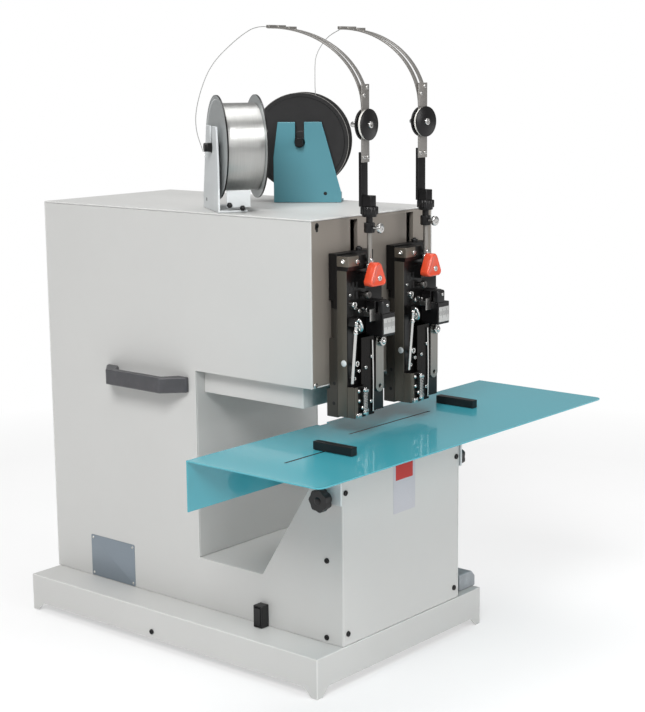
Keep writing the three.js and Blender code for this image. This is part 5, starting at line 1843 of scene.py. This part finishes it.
@dataclass
class WireArm(Assembly):
    """The post on a head with its thumb screw, arched strips and felt wiping wheel.

    Places are written from the post's axis, and the whole arm is turned about it.
    """

    number: int
    centre: float
    turn: float
    axis_y: float = -35.0
    strip_front: float = 4.7
    strip_middle: float = 5.45
    strip_back: float = 6.2
    strip_aside: float = 5.1
    strip_half: float = 2.9
    strip_half_thick: float = 0.75
    strip_corner: float = 0.3
    strip_from: float = 693.0
    spring_z: float = 694.0
    reach: float = 136.0
    rise: float = 95.0
    arch_points: int = 40
    clips_at: tuple[float, ...] = (105.0, 121.0, 134.5)
    clip_drop: float = 0.1
    wheel_z: float = 675.0
    wheel_front: float = 0.8
    wheel_back: float = 8.7

    post: tuple[Fitting, ...] = (
        Fitting(
            Lathe(
                (
                    (0, 546), (3.0, 546), (3.0, 548), (5.9, 548), (6.6, 549, Section.HEX),
                    (6.6, 559, Section.HEX), (5.9, 560), (4.0, 560), (4.0, 567), (8.4, 567), (9.0, 567.6),
                    (9.0, 570), (10.1, 570), (10.5, 570.5, Section.KNURL), (10.5, 578.4, Section.KNURL),
                    (10.0, 579), (6.0, 579.2), (0, 579.2),
                ),
                96,
            ),
            Facing.UP, AT_ORIGIN,
        ),
        Fitting(Block(6.0, 7.2, 13.0, 1.0, 0.8), Facing.UP, ((0, 1.2, 579.0),)),
        Fitting(Block(7.0, 2.0, 64.0, 0.5, 0.5), Facing.UP, ((0, 8.5, 579.0),)),
    )
    rod: Fitting = Fitting(
        Lathe(((0, 500), (2.7, 500), (3.05, 500.5), (3.05, 547.6), (0, 547.6)), 32),
        Facing.UP, AT_ORIGIN,
    )
    thumb: Fitting = Fitting(
        Lathe(
            (
                (0, -9.4), (2, -9.4), (2, 0), (4.8, 0), (5.4, 0.4), (5.8, 0.8, Section.KNURL),
                (5.8, 4.2, Section.KNURL), (5.4, 4.7), (5.0, 5.0), (2.6, 5.0), (2.2, 4.6), (0, 4.6),
            ),
            96,
        ),
        Facing.FRONT, ((0, -12.6, 554),),
    )
    lower_strip: Fitting = Fitting(
        Block(8.0, strip_half_thick, 91.0, strip_corner, 0.3), Facing.UP, ((0, strip_middle, 631.0),),
    )
    clip: Block = Block(8.1, 2.4, 3.6, 0.6, 0.4)
    arch_screws: Fitting = Fitting(
        Screw(2.4, 1.4), Facing.FRONT,
        in_plane(strip_front, (-4.2, 637), (4.2, 637), (-3.4, 709), (3.0, 718)),
    )
    discs: Fitting = Fitting(
        Lathe(((0, 0), (17.9, 0), (18.5, 0.5), (18.5, 1.7), (17.9, 2.2), (0, 2.2)), 72),
        Facing.FRONT, ((0, wheel_front, wheel_z), (0, wheel_back, wheel_z)),
    )
    pad: Fitting = Fitting(
        Lathe(((0, 0), (16.6, 0), (17.3, 0.8), (17.5, 1.8), (17.3, 2.8), (16.6, 3.6), (0, 3.6)), 72),
        Facing.FRONT, ((0, 4.4, wheel_z),),
    )
    bolt: tuple[Fitting, ...] = (
        Fitting(Screw(4.2, 2.4), Facing.FRONT, ((0, -1.4, wheel_z),)),
        Fitting(
            Lathe(
                (
                    (0, -1.4), (3.4, -1.4), (3.4, 3.0), (2.3, 3.4), (2.3, 8.6), (3.1, 9.2), (3.4, 10.0),
                    (3.4, 14.6), (2.8, 15.8), (0, 16.0),
                ),
                28,
            ),
            Facing.BACK, ((0, wheel_back, wheel_z),),
        ),
    )

    def pivot(self) -> tuple[float, float]:
        """The post's axis."""
        return (self.centre, self.axis_y)

    def turned_by(self) -> float:
        """The arm's turn about its post."""
        return self.turn

    def build(self) -> None:
        """Rebuilds the post, thumb screw, arch and felt wheel as finer pieces."""
        n = self.number
        self.add(f"wire_post_{n}", BLACK_METAL, "black_metal", *self.post, stands_for=(f"arm_post_{n}",))
        self.add(f"post_rod_{n}", LINK_STEEL, "bright_steel", self.rod)
        self.add(
            f"thumb_disc_{n}", CHROME, "bright_steel", self.thumb, body=f"thumb_{n}",
            stands_for=(f"thumb_screw_{n}",),
        )
        self._arch()
        self._wheel()

    def _arch(self) -> None:
        """The lower strip, the two thin strips that go over the roof, and their clips.

        Formula: a thin strip stands up to the spring line and then follows a quarter of an
        ellipse, r (1 - cos q) backwards and h sin q upwards, where r is its reach and h its rise.
        """
        n = self.number
        angle = np.linspace(0, math.pi / 2, self.arch_points)
        bend = np.column_stack([
            np.zeros(self.arch_points),
            self.strip_middle + self.reach * (1 - np.cos(angle)),
            self.spring_z + self.rise * np.sin(angle),
        ])
        line = np.vstack([[[0.0, self.strip_middle, self.strip_from]], bend])
        rail = swept(line, rounded_outline(self.strip_half, self.strip_half_thick, self.strip_corner, 3))
        rails = Fitting(rail, Facing.UP, ((-self.strip_aside, 0, 0), (self.strip_aside, 0, 0)))
        clips = Fitting(self.clip, Facing.UP, tuple(self._clip_spot(back) for back in self.clips_at))
        self.add(
            f"arch_strips_{n}", STRIP_STEEL, "bright_steel", self.lower_strip, rails, clips,
            stands_for=(f"arch_arm_{n}",),
        )
        self.add(f"arch_screws_{n}", CHROME, "bright_steel", self.arch_screws)

    def _clip_spot(self, back: float) -> Spot:
        """Where a cross piece lies on the arch.

        Args:
            back: How far behind the post it is.

        Returns:
            Its place in the arm's frame.
        """
        angle = math.acos(1 - min(back / self.reach, 1.0))
        y = self.strip_back + self.reach * (1 - math.cos(angle))
        return (0, y, self.spring_z + self.rise * math.sin(angle) - self.clip_drop)

    def _wheel(self) -> None:
        """Two black discs with a crowned white felt between them, the bolt and the peg."""
        n, body = self.number, f"felt_{self.number}"
        self.add(
            f"felt_discs_{n}", BLACK_METAL, "black_metal", self.discs, body=body,
            stands_for=(f"felt_wheel_{n}",), ease=0.2,
        )
        self.add(f"felt_pad_{n}", FELT, "pale_plate", self.pad, body=body)
        self.add(f"felt_bolt_{n}", CHROME, "bright_steel", *self.bolt, body=body)


@dataclass
class WireSupply(Assembly):
    """One spool of wire on its spindle in a slotted bracket on the roof.

    Places are written from the upright line through the spool's middle, and the whole is turned
    about it. The long end of the bracket's foot is at the back where long_side is 1.
    """

    side: str
    x: float
    y: float
    turn: float
    sheet: Finish
    flange: Finish
    rim: Finish
    flange_slot: str
    long_side: int
    lipped: bool
    axis_z: float = 645.0
    half_width: float = 24.0
    flange_radius: float = 64.0
    flange_thick: float = 2.0
    pressed_in: float = 0.6

    # A flange is pressed in between the hub's ring and the rim's: the radii at which the first one
    # ends above and below, and how far in from the edge the second one starts below and above
    hub_ring: tuple[float, float] = (13.5, 14.5)
    rim_ring: tuple[float, float] = (6.0, 5.0)
    core: float = 50.0
    bore: float = 5.9
    turns: int = 60
    turn_points: int = 48
    wire: float = 0.385
    outside: float = 54.2
    side_gap: float = 0.35
    core_gap: float = 0.15
    sleeve_under: float = 1.6
    flange_smooth: float = 30.0
    wound_smooth: float = 60.0

    bolt: Nut = Nut(3.6, 3.2, 1.8)
    lip: Fitting = Fitting(Block(15.0, 10.5, 1.6, 1.2, 0.5), Facing.FRONT, ((-7.0, -35.6, 583.0),))
    lip_bolts: tuple[Spot, ...] = in_plane(-37.1, (-19.0, 575.6), (-2.6, 571.6))
    foot_bolts: tuple[float, float] = (47.0, -12.5)
    foot_bolt_x: float = -1.0
    foot_bolt_z: float = 568.8
    hole: Lathe = Lathe(((0, 0.06), (2.2, 0.06), (2.4, 0.0), (0, 0.0)), 20)
    hole_at: Spot = (-32.5, 33.3, 578.0)
    fold: Block = Block(5.4, 6.6, 2.0, 1.5, 0.6)
    fold_at: Spot = (-26.9, 52.2, 573.2)

    def pivot(self) -> tuple[float, float]:
        """The upright line through the spool's middle."""
        return (self.x, self.y)

    def turned_by(self) -> float:
        """The turn of the spool and its bracket."""
        return self.turn

    def build(self) -> None:
        """Eases the bracket and spindle, then turns the spool, winds the wire and adds the bolts."""
        soften((("spool_bracket_", self.sheet, 0.7), ("spindle_", BLACK_METAL, 0.6)), self.side)
        self._spool()
        self._winding()
        self._fittings()

    def _to_long_side(self, spot: Spot) -> Spot:
        """A place that is written for a long end at the back, moved to this bracket's long end."""
        return (spot[0], self.long_side * spot[1], spot[2])

    def _on_axis(self, shell: Shell) -> Fitting:
        """A shell turned to the spool's axis."""
        return Fitting(shell, Facing.RIGHT, ((0.0, 0.0, self.axis_z),))

    def _spool(self) -> None:
        """Two pressed flanges with a raised hub ring and a rolled rim, on a plain core."""
        w, r, b = self.half_width, self.flange_radius, self.bore
        out, sunk = w + self.flange_thick, w + self.flange_thick - self.pressed_in
        hub, rolled = self.hub_ring, self.rim_ring
        profile = np.array([
            (b, w), (b, out), (hub[0], out), (hub[1], sunk), (r - rolled[0], sunk), (r - rolled[1], out),
            (r - 0.5, out), (r, out - 0.5), (r, w + 0.4), (r - 0.4, w),
        ])
        bead = np.array([
            (r - 0.9, out - 0.1), (r + 0.1, out - 0.1), (r + 0.1, w - 0.05), (r - 0.2, w - 0.05),
        ])
        core = np.array([(b, -w), (self.core, -w), (self.core, w), (b, w)])
        mirrored = np.array([1.0, -1.0])
        node = "wire_spool_" + self.side
        whole = ringed(profile) + ringed(profile * mirrored) + ringed(core)
        self.add(
            node + "_turned", self.flange, self.flange_slot, self._on_axis(whole), body=BODY_OF[node],
            stands_for=(node,), smooth=self.flange_smooth,
        )
        rims = self._on_axis(ringed(bead) + ringed(bead * mirrored))
        self.add(
            node + "_rims", self.rim, self.flange_slot, rims, body=BODY_OF[node], smooth=self.flange_smooth,
        )

    def _winding(self) -> None:
        """Inner layers as a plain sleeve and the outer layer as one unbroken fine helix."""
        w = self.half_width - self.side_gap
        inside, foot = self.outside - self.sleeve_under * self.wire, self.core + self.core_gap
        sleeve = ringed(np.array([(foot, -w), (inside, -w), (inside, w), (foot, w)]))
        length = 2 * (w - self.wire)
        helix = Coil(self.outside - self.wire, self.wire, length, self.turns, self.turn_points).shell()
        node = "wire_winding_" + self.side
        finish = replace(WIRE, name=WIRE.name + "_" + self.side, turn=self.turn)
        self.add(
            node + "_wound", finish, "bright_steel", self._on_axis(sleeve + helix), body=BODY_OF[node],
            stands_for=(node,), smooth=self.wound_smooth,
        )

    def _fittings(self) -> None:
        """The upright lip where there is one, the bolts, the plate's hole as a dark disc of painted shade and
        the long end's fold.
        """
        slot = SLOT_OF["spool_bracket_" + self.side]
        if self.lipped:
            self.add(f"bracket_lip_{self.side}", self.sheet, slot, self.lip)
            bolts = Fitting(self.bolt, Facing.FRONT, self.lip_bolts)
        else:
            spots = tuple(
                self._to_long_side((self.foot_bolt_x, y, self.foot_bolt_z)) for y in self.foot_bolts
            )
            bolts = Fitting(self.bolt, Facing.UP, spots)
        self.add(f"bracket_bolts_{self.side}", BLACK_METAL, "black_metal", bolts)
        hole = Fitting(self.hole, Facing.LEFT, (self._to_long_side(self.hole_at),))
        self.add(f"bracket_hole_{self.side}", PAINTED_HOLE_SHADE, "black_metal", hole)
        facing = Facing.BACK if self.long_side > 0 else Facing.FRONT
        fold = Fitting(self.fold, facing, (self._to_long_side(self.fold_at),))
        self.add(f"bracket_fold_{self.side}", self.sheet, slot, fold)


@dataclass
class DriveTrain:
    """What drives the heads inside the casing, and the clincher under them."""

    finishes: tuple[tuple[str, Finish, float], ...] = (
        ("main_frame", CASTING, 1.0), ("motor", MOTOR_PAINT, 1.0), ("motor_pulley", STEEL, 0.5),
        ("drive_belt", BELT, 0.6), ("flywheel", CASTING, 0.8), ("crankshaft", STEEL, 0.6),
        ("drive_beam", CASTING, 0.8), ("clincher_guide", CASTING, 0.7), ("clincher_bar", STEEL, 0.5),
    )

    def build(self) -> None:
        """Eases each part and gives it its finish."""
        soften(self.finishes)


def main() -> None:
    """Builds every sub-assembly in order."""
    logging.basicConfig(level=logging.INFO, format="%(message)s")
    left_head, right_head = -53.0, 59.0
    # The left bracket is teal sheet like the right one; its pale paint is a painted reflection of the bright
    # glancing light on its near plate
    pale_supply = WireSupply(
        "left", x=-69.5, y=163.0, turn=-34.0, sheet=PALE_PLATE, flange=PALE_FLANGE, rim=BLACK_METAL,
        flange_slot="pale_plate", long_side=1, lipped=True,
    )
    teal_supply = WireSupply(
        "right", x=82.5, y=185.5, turn=34.0, sheet=TEAL_SHEET, flange=BLACK_FLANGE, rim=STRIP_STEEL,
        flange_slot="black_metal", long_side=-1, lipped=False,
    )
    assemblies = (
        Stage(), FreeWires(), Casing(), Table(),
        StitchingHead(1, left_head), StitchingHead(2, right_head),
        WireArm(1, left_head, turn=5.0), WireArm(2, right_head, turn=-5.0),
        pale_supply, teal_supply, DriveTrain(),
    )
    for assembly in assemblies:
        assembly.build()
        LOG.info("built %s", type(assembly).__name__)


if __name__ == "__main__":
    main()
